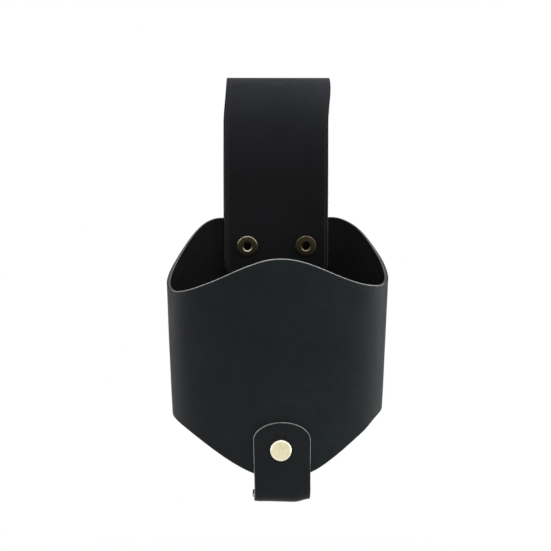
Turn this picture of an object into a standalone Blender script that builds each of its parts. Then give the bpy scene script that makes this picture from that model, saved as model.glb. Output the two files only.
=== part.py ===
"""Belt drink holder, built the way it is cut, folded, snapped and riveted.

Metres, +Z up. The front of the holder faces -Y and its wearer stands on the +Y side.
The origin is the crown of the belt loop on its inside, where the loop hangs on a belt.
Heights are measured up from the lowest tips of the sleeve, then lowered by CROWN_HEIGHT.
"""

import math

import bmesh
import bpy
from mathutils import Matrix, Vector

# Leather, and the clearances between pieces that touch
LEATHER = 0.0017
SEAT_GAP = 0.0003
EDGE_BREAK = 0.0003
HOLE_GAP = 0.0003
CUT_OVERRUN = 0.004

# Sleeve: widths are on the middle of the leather, at the side dip and at the hem's arches
MOUTH_WIDTH = 0.1015
HEM_WIDTH = 0.0967
FRONT_BULGE = 0.0195
BACK_BULGE = 0.0150
FLAT_BESIDE_LOOP = 0.0027
LAP_BESIDE_SNAP = 0.00825
FRONT_CREST_HEIGHT = 0.1015
SIDE_DIP_HEIGHT = 0.0873
BACK_RIM_HEIGHT = 0.1185
ARCH_HEIGHT = 0.0328

# Where the rim and the hem turn, as shares of the way from the front centre to the back
RIM_DIP_SHARE = 0.42
RIM_BACK_SHARE = 0.78
HEM_ARCH_SHARE = 0.60

# Belt loop, and where its snaps lie in it and under the sleeve's back rim
LOOP_WIDTH = 0.0486
LOOP_CORNER = 0.004
LOOP_ABOVE_RIM = 0.0638
LOOP_CROWN_RADIUS = 0.0085
SPLAY_ABOVE_SNAP = 0.0120
SPLAY_RADIUS = 0.030
SNAP_BELOW_RIM = 0.0133
SNAP_INSET = 0.01055
LEG_BELOW_SNAP = 0.013
HINGE_GAP = 0.0003

# Strap under the drink, and its rivets
STRAP_WIDTH = 0.026
STRAP_DROP = 0.0095
STRAP_BEND = 0.0045
TAB_ROUND = 0.0083
TAB_ABOVE_RIVET = 0.0123
REAR_TAB_ABOVE_RIVET = 0.0123
RIVET_HEIGHT = 0.0136

# Snap post: a hollow eyelet whose flange shows inside the pocket
POST_DIAMETER = 0.0099
POST_DOME = 0.0012
POST_BORE = 0.0033
POST_BARREL = 0.0041
POST_MOUTH = 0.0052
POST_CURL = 0.0055
POST_CURL_HEIGHT = 0.0003
# Points of its mouth, as shares of the way out from bore to lip and of the dome's height
MOUTH_SHARES = ((0.0, 0.35), (0.4, 0.8), (1.0, 1.0))
# Points of its flange, as shares of the way out from lip to rim and of the dome's height
FLANGE_SHARES = ((0.55, 0.85), (0.9, 0.4), (1.0, 0.15))

# Snap stud
STUD_DIAMETER = 0.0100
STUD_FLANGE = 0.0007
STUD_NECK = 0.0057
STUD_BULB = 0.0064
STUD_HEIGHT = 0.0027
# Points up its bulb, as shares of the height above the flange and of the way out from neck
BULB_SHARES = ((0.0, 0.4), (0.15, 0.0), (0.45, 0.0), (0.7, 1.0), (0.85, 1.0))
STUD_TOP_SHARE = 0.6

# Snap socket with its split ring spring
SOCKET_DIAMETER = 0.0124
SOCKET_FLOOR = 0.0006
SOCKET_ROUND = 0.0005
BULB_CLEARANCE = 0.00015
BULB_HEADROOM = 0.0003
SPRING_WIRE = 0.0006
SPRING_SPLIT = 0.0014
GROOVE_GAP = 0.00015

# Snap cap
CAP_DIAMETER = 0.0150
CAP_HEIGHT = 0.0020
CAP_EDGE = 0.0006
CAP_SHANK = 0.0032
CAP_FLARE = 0.0048
CAP_FLARE_HEIGHT = 0.0004

# Double-cap rivets: the cap has a hollow shank and the post has a pin inside it
RIVET_DIAMETER = 0.0098
RIVET_THICKNESS = 0.0012
RIVET_BEVEL = 0.0008
RIVET_BEVEL_DROP = 0.0004
RIVET_SHANK = 0.0034
RIVET_BORE = 0.0024
RIVET_BACK_THICKNESS = 0.0009

# Fineness of the round and curved forms
FRONT_STEPS = 44
CORNER_STEPS = 9
LAP_STEPS = 4
SLEEVE_ROWS = 8
FOLD_STEPS = 18
SPLAY_STEPS = 3
STRAP_COLUMNS = 8
STRAP_LEG_ROWS = 6
STRAP_BEND_ROWS = 7
TAB_END_STEPS = 18
ROUND_STEPS = 28
WIRE_STEPS = 6
DOME_STEPS = 5
LOOP_CORNER_STEPS = 5
SMOOTH_ANGLE = math.radians(35)
EDGE_ANGLE = math.radians(55)

# Heights and widths that follow from those sizes
CROWN_HEIGHT = BACK_RIM_HEIGHT + LOOP_ABOVE_RIM
SNAP_HEIGHT = BACK_RIM_HEIGHT - SNAP_BELOW_RIM
TAB_HEIGHT = RIVET_HEIGHT + TAB_ABOVE_RIVET
REAR_TAB_HEIGHT = RIVET_HEIGHT + REAR_TAB_ABOVE_RIVET
SNAP_SPACING = LOOP_WIDTH - 2 * SNAP_INSET
LAP_WIDTH = SNAP_SPACING + 2 * LAP_BESIDE_SNAP
BACK_FLAT = LOOP_WIDTH + 2 * FLAT_BESIDE_LOOP

# The stack along Y between the two legs of the loop, from the front leg backwards
POST_LENGTH = 3 * LEATHER + 4 * SEAT_GAP + STUD_HEIGHT + SEAT_GAP + POST_CURL_HEIGHT
SNAP_STACK = (STUD_HEIGHT + SEAT_GAP + POST_CURL_HEIGHT + BULB_HEADROOM
              + CAP_FLARE_HEIGHT + SEAT_GAP + SOCKET_FLOOR)
LOOP_GAP = 2 * (LEATHER + SEAT_GAP) + SEAT_GAP + SNAP_STACK + SEAT_GAP
FRONT_LEG_FACE = -LOOP_GAP / 2
INNER_LAP_Y = FRONT_LEG_FACE + SEAT_GAP + LEATHER / 2
OUTER_LAP_Y = INNER_LAP_Y + LEATHER + SEAT_GAP
SLEEVE_BACK_FACE = OUTER_LAP_Y + LEATHER / 2
STUD_SEAT = SLEEVE_BACK_FACE + SEAT_GAP
SOCKET_FRONT = STUD_SEAT + STUD_FLANGE + SEAT_GAP
SOCKET_BACK = LOOP_GAP / 2 - SEAT_GAP
FLAP_FACE = LOOP_GAP / 2
FLAP_BACK = FLAP_FACE + LEATHER
STRAP_BACK_Y = SLEEVE_BACK_FACE + SEAT_GAP + LEATHER / 2
SNAP_SIDES = {"left": -SNAP_SPACING / 2, "right": SNAP_SPACING / 2}


def level(height):
    """World z of a height above the tips of the sleeve."""
    return height - CROWN_HEIGHT


def ease(share):
    """Half a cosine wave, from 0 to 1."""
    return (1 - math.cos(math.pi * share)) / 2


def between(low, high, share):
    return low + (high - low) * share


def narrowing(height):
    """Scale of the sleeve's plan at a height: 1 at the side dip, smaller below it."""
    slope = (1 - HEM_WIDTH / MOUTH_WIDTH) / (SIDE_DIP_HEIGHT - ARCH_HEIGHT)
    return 1 - (SIDE_DIP_HEIGHT - height) * slope


def rim_height(round_share):
    """Height of the rim: a crest in front, a dip at each side, level at the back."""
    if round_share < RIM_DIP_SHARE:
        return between(FRONT_CREST_HEIGHT, SIDE_DIP_HEIGHT, ease(round_share / RIM_DIP_SHARE))
    rise = min((round_share - RIM_DIP_SHARE) / (RIM_BACK_SHARE - RIM_DIP_SHARE), 1)
    return between(SIDE_DIP_HEIGHT, BACK_RIM_HEIGHT, ease(rise))


def hem_height(round_share):
    """Height of the hem: a tip in front and at the back, an arch at each side."""
    if round_share < HEM_ARCH_SHARE:
        return ARCH_HEIGHT * ease(round_share / HEM_ARCH_SHARE)
    return ARCH_HEIGHT * ease((1 - round_share) / (1 - HEM_ARCH_SHARE))


def oval(height):
    """Half width, half of the back flat, middle y and front bulge at a height."""
    scale = narrowing(height)
    middle = INNER_LAP_Y - BACK_BULGE * scale
    return MOUTH_WIDTH / 2 * scale, BACK_FLAT / 2 * scale, middle, FRONT_BULGE * scale


def front_y(x, height):
    """Middle of the front wall's leather at a place across the front."""
    half, _, middle, bulge = oval(height)
    return middle - bulge * math.sqrt(1 - (x / half) ** 2)


def front_lean():
    """Tilt of the front wall, which leans outwards towards the rim."""
    rise = SIDE_DIP_HEIGHT - ARCH_HEIGHT
    return math.atan((front_y(0, ARCH_HEIGHT) - front_y(0, SIDE_DIP_HEIGHT)) / rise)


def plan_stations():
    """Stretches of the strip from its outer end, round the front, to its inner end."""
    flat_share = LAP_WIDTH / BACK_FLAT
    stations = [("outer", between(-flat_share, 0, i / LAP_STEPS)) for i in range(LAP_STEPS)]
    stations += [("outer", i / LAP_STEPS) for i in range(LAP_STEPS)]
    stations += [("right", i / CORNER_STEPS) for i in range(CORNER_STEPS)]
    stations += [("front", 1 - 2 * i / FRONT_STEPS) for i in range(FRONT_STEPS)]
    stations += [("left", 1 - i / CORNER_STEPS) for i in range(CORNER_STEPS)]
    stations += [("inner", i / LAP_STEPS - 1) for i in range(LAP_STEPS)]
    stations += [("inner", flat_share * i / LAP_STEPS) for i in range(LAP_STEPS + 1)]
    return stations


def plan_point(station, height):
    """Middle of the leather and its outward direction, in plan."""
    stretch, share = station
    half, flat, middle, bulge = oval(height)
    angle = share * math.pi / 2
    if stretch in ("outer", "inner"):
        y = OUTER_LAP_Y if stretch == "outer" else INNER_LAP_Y
        return Vector((share * flat, y)), Vector((0, 1))
    if stretch == "front":
        point = Vector((half * math.sin(angle), middle - bulge * math.cos(angle)))
        return point, Vector((math.sin(angle) / half, -math.cos(angle) / bulge)).normalized()
    side = 1 if stretch == "right" else -1
    depth = (OUTER_LAP_Y if stretch == "right" else INNER_LAP_Y) - middle
    width = half - flat
    point = Vector((side * (flat + width * math.sin(angle)), middle + depth * math.cos(angle)))
    outward = Vector((side * math.sin(angle) / width, math.cos(angle) / depth))
    return point, outward.normalized()


def round_shares(stations):
    """How far round each station lies: 0 at the front centre, 1 at the back centre."""
    points = [plan_point(station, SIDE_DIP_HEIGHT)[0] for station in stations]
    run = [0.0]
    for before, after in zip(points, points[1:]):
        run.append(run[-1] + (after - before).length)
    front = stations.index(("front", 0.0))
    back_of = {-1: stations.index(("outer", 0.0)), 1: stations.index(("inner", 0.0))}
    shares = []
    for distance in run:
        side = 1 if distance > run[front] else -1
        share = (distance - run[front]) / (run[back_of[side]] - run[front])
        shares.append(min(share, 2 - share))
    return shares


def material(name, colour, roughness, metallic):
    finish = bpy.data.materials.new(name)
    finish.use_nodes = True
    shader = finish.node_tree.nodes["Principled BSDF"]
    shader.inputs["Base Color"].default_value = (*colour, 1)
    shader.inputs["Roughness"].default_value = roughness
    shader.inputs["Metallic"].default_value = metallic
    return finish


def add_object(name, bm, finish, location=(0, 0, 0), parent=None):
    """Turn a bmesh into a smooth shaded object with outward faces."""
    bmesh.ops.recalc_face_normals(bm, faces=bm.faces)
    mesh = bpy.data.meshes.new(name)
    bm.to_mesh(mesh)
    bm.free()
    mesh.shade_smooth()
    mesh.set_sharp_from_angle(angle=SMOOTH_ANGLE)
    mesh.materials.append(finish)
    piece = bpy.data.objects.new(name, mesh)
    bpy.context.collection.objects.link(piece)
    piece.location = location
    if parent:
        piece.parent = parent
        piece.location = Vector(location) - parent.location
    return piece


def break_edges(piece):
    """Chamfer the cut edges of a leather piece."""
    bevel = piece.modifiers.new("edge_break", "BEVEL")
    bevel.width = EDGE_BREAK
    bevel.segments = 1
    bevel.limit_method = "ANGLE"
    bevel.angle_limit = EDGE_ANGLE


def hole_cutter(name, diameter, start, end):
    """A round punch between two points, kept out of the render."""
    start, end = Vector(start), Vector(end)
    bm = bmesh.new()
    turn = (end - start).to_track_quat("Z", "Y").to_matrix().to_4x4()
    place = Matrix.Translation((start + end) / 2) @ turn
    bmesh.ops.create_cone(bm, cap_ends=True, segments=ROUND_STEPS, radius1=diameter / 2,
                          radius2=diameter / 2, depth=(end - start).length, matrix=place)
    mesh = bpy.data.meshes.new(name)
    bm.to_mesh(mesh)
    bm.free()
    cutter = bpy.data.objects.new(name, mesh)
    bpy.context.collection.objects.link(cutter)
    cutter.hide_render = True
    cutter.display_type = "WIRE"
    return cutter


def punch(piece, cutters):
    for cutter in cutters:
        cut = piece.modifiers.new(cutter.name, "BOOLEAN")
        cut.operation = "DIFFERENCE"
        cut.object = cutter


def turned(name, profile, finish, location, parent=None, lean=0.0, steps=ROUND_STEPS):
    """Turn a closed profile of (radius, depth) points about a line along Y.

    Depth runs backwards, towards the wearer, from the piece's location.
    """
    bm = bmesh.new()
    verts = [bm.verts.new((radius, depth, 0)) for radius, depth in profile]
    edges = [bm.edges.new(pair) for pair in zip(verts, verts[1:])]
    if profile[0][0] or profile[-1][0]:
        edges.append(bm.edges.new((verts[-1], verts[0])))
    bmesh.ops.spin(bm, geom=verts + edges, cent=(0, 0, 0), axis=(0, 1, 0),
                   angle=math.tau, steps=steps, use_merge=True)
    bmesh.ops.remove_doubles(bm, verts=bm.verts, dist=HOLE_GAP / 100)
    piece = add_object(name, bm, finish, location, parent)
    piece.rotation_euler.x = lean
    return piece


def sleeve(finish, cutters):
    """One strip bent to a flattened oval, with its two ends lapped at the back."""
    stations = plan_stations()
    bm = bmesh.new()
    columns = []
    for station, round_share in zip(stations, round_shares(stations)):
        skins = []
        for side in (-1, 1):
            skin = []
            for row in range(SLEEVE_ROWS + 1):
                share = row / SLEEVE_ROWS
                height = between(hem_height(round_share), rim_height(round_share), share)
                point, outward = plan_point(station, height)
                point = point + outward * side * LEATHER / 2
                skin.append(bm.verts.new((point.x, point.y, level(height))))
            skins.append(skin)
        columns.append(skins[0] + skins[1][::-1])
    for before, after in zip(columns, columns[1:]):
        for i in range(len(before)):
            bm.faces.new((before[i - 1], before[i], after[i], after[i - 1]))
    for column in (columns[0], columns[-1]):
        inner, outer = column[:SLEEVE_ROWS + 1], column[SLEEVE_ROWS + 1:][::-1]
        for i in range(SLEEVE_ROWS):
            bm.faces.new((inner[i], inner[i + 1], outer[i + 1], outer[i]))
    piece = add_object("sleeve", bm, finish)
    break_edges(piece)
    punch(piece, cutters)
    return piece


def flat_blank(outline):
    """A flat piece cut from leather: an outline in (across, along), LEATHER thick."""
    bm = bmesh.new()
    face = bm.faces.new([bm.verts.new((x, along, -LEATHER / 2)) for x, along in outline])
    raised = bmesh.ops.extrude_face_region(bm, geom=[face])["geom"]
    top = [item for item in raised if isinstance(item, bmesh.types.BMVert)]
    bmesh.ops.translate(bm, verts=top, vec=(0, 0, LEATHER))
    return bm


def score(bm, direction, places):
    """Divide a blank along straight lines, so that it can be bent there."""
    normal = Vector(direction)
    for place in places:
        geom = bm.verts[:] + bm.edges[:] + bm.faces[:]
        bmesh.ops.bisect_plane(bm, geom=geom, plane_co=normal * place, plane_no=normal,
                               dist=SEAT_GAP / 1000)


def corner_points(x, along, start):
    """A rounded corner of the loop about a centre, a quarter turn on from a start angle."""
    turn = [start + math.pi / 2 * i / LOOP_CORNER_STEPS for i in range(LOOP_CORNER_STEPS + 1)]
    return [(x + LOOP_CORNER * math.cos(angle), along + LOOP_CORNER * math.sin(angle))
            for angle in turn]


def leg_end(along, side=1):
    """The rounded end of a leg: side is 1 where the strip starts and -1 where it ends."""
    inset = (LOOP_WIDTH / 2 - LOOP_CORNER) * side
    start = math.pi if side == 1 else 0
    first = corner_points(-inset, along + LOOP_CORNER * side, start)
    return first + corner_points(inset, along + LOOP_CORNER * side, start + math.pi / 2)


def loop_path():
    """Lengths of the loop's middle line on one side: leg, splaying bend, slope and crown.

    The legs stand upright at the snaps, then part to meet the crown's arc at the splay angle.
    """
    leg = SPLAY_ABOVE_SNAP + LEG_BELOW_SNAP
    across = (LOOP_GAP + LEATHER) / 2 + SPLAY_RADIUS
    rise = LEATHER / 2 - LOOP_CROWN_RADIUS - level(SNAP_HEIGHT + SPLAY_ABOVE_SNAP)
    turn = math.acos((LOOP_CROWN_RADIUS + SPLAY_RADIUS) / math.hypot(across, rise))
    splay = math.atan2(rise, across) - turn
    slope = rise * math.cos(splay) - across * math.sin(splay)
    crown = LOOP_CROWN_RADIUS * (math.pi / 2 + splay)
    return {"splay": splay, "leg": leg, "bend": SPLAY_RADIUS * splay, "slope": slope,
            "crown": crown, "half": leg + SPLAY_RADIUS * splay + slope + crown}


def loop_point(path, along):
    """Middle line of the loop as (y, z), and its outside, from the front leg's lower end."""
    if along > path["half"]:
        point, outside = loop_point(path, 2 * path["half"] - along)
        return Vector((-point.x, point.y)), Vector((-outside.x, outside.y))
    leg_y = -(LOOP_GAP + LEATHER) / 2
    splay_z = level(SNAP_HEIGHT + SPLAY_ABOVE_SNAP)
    if along <= path["leg"]:
        return Vector((leg_y, splay_z + along - path["leg"])), Vector((-1, 0))
    along -= path["leg"]
    angle = min(along / SPLAY_RADIUS, path["splay"])
    outside = Vector((-math.cos(angle), -math.sin(angle)))
    point = Vector((leg_y - SPLAY_RADIUS, splay_z)) - outside * SPLAY_RADIUS
    along -= path["bend"]
    if along <= 0:
        return point, outside
    if along <= path["slope"]:
        return point + Vector((outside.y, -outside.x)) * along, outside
    angle = (along - path["slope"]) / LOOP_CROWN_RADIUS - path["splay"]
    outside = Vector((-math.cos(angle), math.sin(angle)))
    return Vector((0, LEATHER / 2 - LOOP_CROWN_RADIUS)) + outside * LOOP_CROWN_RADIUS, outside


def hinge_place(path):
    """Distance of the hinge line along the loop, and its place on the leather's outside."""
    along = path["half"] + path["crown"] + HINGE_GAP / 2
    point, outside = loop_point(path, along)
    point = point + outside * LEATHER / 2
    return along, Vector((0, point.x, point.y))


def bend_loop(bm, path, origin=(0, 0, 0)):
    """Bend a blank of (across, along, out) round the belt, measured from an origin."""
    for vert in bm.verts:
        x, along, out = vert.co
        point, outside = loop_point(path, along)
        point = point + outside * out
        vert.co = Vector((x, point.x, point.y)) - Vector(origin)


def loop_front(finish, cutters):
    """The belt loop's front leg, and the fold over the belt as far as the hinge line."""
    path = loop_path()
    half = LOOP_WIDTH / 2
    end = hinge_place(path)[0] - HINGE_GAP / 2
    bm = flat_blank([(half, end), (-half, end)] + leg_end(0))
    bend_end = path["leg"] + path["bend"]
    folds = [path["leg"] + path["bend"] * i / SPLAY_STEPS for i in range(SPLAY_STEPS)]
    folds += [bend_end, bend_end + path["slope"]]
    folds += [end - 2 * path["crown"] * i / FOLD_STEPS for i in range(1, FOLD_STEPS)]
    score(bm, (0, 1, 0), folds)
    bend_loop(bm, path)
    piece = add_object("belt_loop_front", bm, finish)
    break_edges(piece)
    punch(piece, cutters)
    return piece


def loop_flap(finish, cutters):
    """The belt loop's rear leg, which swings back from the hinge line."""
    path = loop_path()
    half = LOOP_WIDTH / 2
    hinge_along, hinge = hinge_place(path)
    start, end = hinge_along + HINGE_GAP / 2, 2 * path["half"]
    bm = flat_blank([(-half, start), (half, start)] + leg_end(end, -1))
    bend_start = end - path["leg"] - path["bend"]
    score(bm, (0, 1, 0), [bend_start + path["bend"] * i / SPLAY_STEPS
                          for i in range(SPLAY_STEPS + 1)])
    bend_loop(bm, path, hinge)
    piece = add_object("belt_loop_flap", bm, finish, hinge)
    break_edges(piece)
    punch(piece, cutters)
    return piece


def strap_path():
    """Stretches of the strap's middle line: front leg, bend, run, bend and rear leg."""
    bend = STRAP_BEND + LEATHER / 2
    lean = front_lean()
    floor = -STRAP_DROP - LEATHER / 2
    front_turn = math.pi / 2 - lean
    offset = (SEAT_GAP + LEATHER) / math.cos(lean)
    corner_y = front_y(0, floor) - offset
    cut_back = bend * math.tan(front_turn / 2)
    front_leg = (TAB_HEIGHT - floor) / math.cos(lean) - cut_back
    run = STRAP_BACK_Y - corner_y - cut_back - bend
    rear_leg = REAR_TAB_HEIGHT - floor - bend
    return {"bend": bend, "lean": lean, "floor": floor, "corner_y": corner_y,
            "cut_back": cut_back, "front_leg": front_leg, "front_bend": bend * front_turn,
            "run": run, "rear_bend": bend * math.pi / 2, "rear_leg": rear_leg}


def strap_point(path, along):
    """Middle line of the strap at a distance from the front tab's end, with its outside."""
    lean, bend = path["lean"], path["bend"]
    down = Vector((math.sin(lean), -math.cos(lean)))
    corner = Vector((path["corner_y"], path["floor"]))
    bend_start = corner - down * path["cut_back"]
    if along <= path["front_leg"]:
        outside = Vector((-math.cos(lean), -math.sin(lean)))
        return bend_start - down * (path["front_leg"] - along), outside
    along -= path["front_leg"]
    if along <= path["front_bend"]:
        angle = along / bend + lean
        centre = Vector((path["corner_y"] + path["cut_back"], path["floor"] + bend))
        outside = Vector((-math.cos(angle), -math.sin(angle)))
        return centre + outside * bend, outside
    along -= path["front_bend"]
    if along <= path["run"]:
        y = path["corner_y"] + path["cut_back"] + along
        return Vector((y, path["floor"])), Vector((0, -1))
    along -= path["run"]
    if along <= path["rear_bend"]:
        angle = along / bend
        centre = Vector((STRAP_BACK_Y - bend, path["floor"] + bend))
        outside = Vector((math.sin(angle), -math.cos(angle)))
        return centre + outside * bend, outside
    along -= path["rear_bend"]
    return Vector((STRAP_BACK_Y, path["floor"] + bend + along)), Vector((1, 0))


def bottom_strap(finish, cutters):
    """The strap that the drink stands on, bent up the front and the back of the sleeve."""
    path = strap_path()
    row_counts = {"front_leg": STRAP_LEG_ROWS, "front_bend": STRAP_BEND_ROWS, "run": 1,
                  "rear_bend": STRAP_BEND_ROWS, "rear_leg": 1}
    length = sum(path[stretch] for stretch in row_counts)
    half = STRAP_WIDTH / 2
    arc = [math.pi * i / TAB_END_STEPS for i in range(TAB_END_STEPS + 1)]
    outline = [(-half * math.cos(a), TAB_ROUND - TAB_ROUND * math.sin(a)) for a in arc]
    outline += [(half * math.cos(a), length - TAB_ROUND + TAB_ROUND * math.sin(a)) for a in arc]
    bm = flat_blank(outline)
    columns = [i / STRAP_COLUMNS for i in range(1, STRAP_COLUMNS)]
    score(bm, (1, 0, 0), [between(-half, half, share) for share in columns])
    rows = []
    start = 0
    for stretch, count in row_counts.items():
        rows += [start + path[stretch] * i / count for i in range(count)]
        start += path[stretch]
    score(bm, (0, 1, 0), rows[1:])
    for vert in bm.verts:
        x, along, out = vert.co
        point, outside = strap_point(path, along)
        point = point + outside * out
        hollow = front_y(x, max(point.y, 0)) - front_y(0, max(point.y, 0))
        free = min(max((along - path["front_leg"]) / path["front_bend"], 0), 1)
        vert.co = (x, point.x + hollow * (1 - free), level(point.y))
    piece = add_object("bottom_strap", bm, finish)
    break_edges(piece)
    punch(piece, cutters)
    return piece


def snap_post(name, x, finish):
    """Hollow eyelet: domed flange in the pocket, barrel through the leather, curled end."""
    rim, bore, barrel = POST_DIAMETER / 2, POST_BORE / 2, POST_BARREL / 2
    mouth, curl = POST_MOUTH / 2, POST_CURL / 2
    seat = FRONT_LEG_FACE - LEATHER - SEAT_GAP
    end = POST_LENGTH
    curl_start = end - POST_CURL_HEIGHT
    profile = [(bore, end)]
    profile += [(between(bore, mouth, out), -POST_DOME * up) for out, up in MOUTH_SHARES]
    profile += [(between(mouth, rim, out), -POST_DOME * up) for out, up in FLANGE_SHARES]
    profile += [(rim, 0), (barrel, 0), (barrel, curl_start), (curl, curl_start), (curl, end)]
    return turned(name, profile, finish, (x, seat, level(SNAP_HEIGHT)))


def snap_stud(name, x, finish):
    """Stud on the back of the sleeve, held by the curled end of the post."""
    bore = POST_BARREL / 2 + HOLE_GAP
    rim, neck, bulb = STUD_DIAMETER / 2, STUD_NECK / 2, STUD_BULB / 2
    profile = [(bore, 0), (rim, 0), (rim, STUD_FLANGE)]
    profile += [(between(neck, bulb, out), between(STUD_FLANGE, STUD_HEIGHT, up))
                for up, out in BULB_SHARES]
    profile += [(between(bore, bulb, STUD_TOP_SHARE), STUD_HEIGHT), (bore, STUD_HEIGHT)]
    return turned(name, profile, finish, (x, STUD_SEAT, level(SNAP_HEIGHT)))


def spring_place():
    """Radius of the ring spring's wire circle, and its depth behind the socket's front."""
    return STUD_BULB / 2 + BULB_CLEARANCE + SPRING_WIRE / 2, SOCKET_ROUND + SPRING_WIRE / 2


def snap_socket(name, x, finish, parent):
    """Socket on the front of the flap, with a groove inside for its ring spring."""
    rim, mouth = SOCKET_DIAMETER / 2, STUD_BULB / 2 + BULB_CLEARANCE
    depth = SOCKET_BACK - SOCKET_FRONT
    floor = depth - SOCKET_FLOOR
    hole = CAP_SHANK / 2 + HOLE_GAP
    circle, middle = spring_place()
    reach = SPRING_WIRE / 2 + GROOVE_GAP
    groove = circle + reach
    profile = [(mouth, 0), (rim - SOCKET_ROUND, 0), (rim, SOCKET_ROUND),
               (rim, depth - SOCKET_ROUND), (rim - SOCKET_ROUND, depth), (hole, depth),
               (hole, floor), (mouth, floor), (mouth, middle + reach), (groove, middle + reach),
               (groove, middle - reach), (mouth, middle - reach)]
    return turned(name, profile, finish, (x, SOCKET_FRONT, level(SNAP_HEIGHT)), parent)


def snap_spring(name, x, finish, parent):
    """Split ring of round wire in the socket's groove."""
    circle, middle = spring_place()
    gap_angle = SPRING_SPLIT / circle
    bm = bmesh.new()
    wire = bmesh.ops.create_circle(bm, cap_ends=True, segments=WIRE_STEPS, radius=SPRING_WIRE / 2)
    bmesh.ops.translate(bm, verts=wire["verts"], vec=(circle, 0, 0))
    bmesh.ops.rotate(bm, verts=wire["verts"], matrix=Matrix.Rotation(gap_angle / 2, 3, "Y"))
    bmesh.ops.spin(bm, geom=bm.faces[:], cent=(0, 0, 0), axis=(0, 1, 0),
                   angle=math.tau - gap_angle, steps=ROUND_STEPS)
    place = (x, SOCKET_FRONT + middle, level(SNAP_HEIGHT))
    return add_object(name, bm, finish, place, parent)


def snap_cap(name, x, finish, parent):
    """Domed cap behind the flap, with its shank flared inside the socket."""
    rim, shank, flare = CAP_DIAMETER / 2, CAP_SHANK / 2, CAP_FLARE / 2
    seat = FLAP_BACK + SEAT_GAP
    through = seat - (SOCKET_BACK - SOCKET_FLOOR)
    tip = through + SEAT_GAP + CAP_FLARE_HEIGHT
    angles = [math.pi / 2 * i / DOME_STEPS for i in range(DOME_STEPS + 1)]
    dome = [(rim * math.sin(a), CAP_EDGE + (CAP_HEIGHT - CAP_EDGE) * math.cos(a)) for a in angles]
    profile = dome + [(rim, 0), (shank, 0), (shank, CAP_FLARE_HEIGHT - tip),
                      (flare, CAP_FLARE_HEIGHT - tip), (flare, -tip), (0, -tip)]
    return turned(name, profile, finish, (x, seat, level(SNAP_HEIGHT)), parent)


def rivet_cap(name, finish, location, lean, grip, side):
    """Flat cap with a bevelled rim and a hollow shank; side says which way it faces."""
    rim, shank, bore = RIVET_DIAMETER / 2, RIVET_SHANK / 2, RIVET_BORE / 2
    top = -RIVET_THICKNESS
    profile = [(0, top), (rim - RIVET_BEVEL, top), (rim, top + RIVET_BEVEL_DROP), (rim, 0),
               (shank, 0), (shank, grip - SEAT_GAP), (bore, grip - SEAT_GAP), (bore, 0), (0, 0)]
    profile = [(radius, -side * depth) for radius, depth in profile]
    return turned(name, profile, finish, location, lean=lean)


def rivet_post(name, finish, location, lean, grip, side):
    """Back cap of a rivet, with the pin that fills the cap's shank."""
    rim, pin = RIVET_DIAMETER / 2, RIVET_BORE / 2 - HOLE_GAP
    back = grip + RIVET_BACK_THICKNESS
    profile = [(0, SEAT_GAP), (pin, SEAT_GAP), (pin, grip), (rim, grip),
               (rim, back - RIVET_BEVEL_DROP), (rim - RIVET_BEVEL, back), (0, back)]
    profile = [(radius, -side * depth) for radius, depth in profile]
    return turned(name, profile, finish, location, lean=lean)


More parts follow.
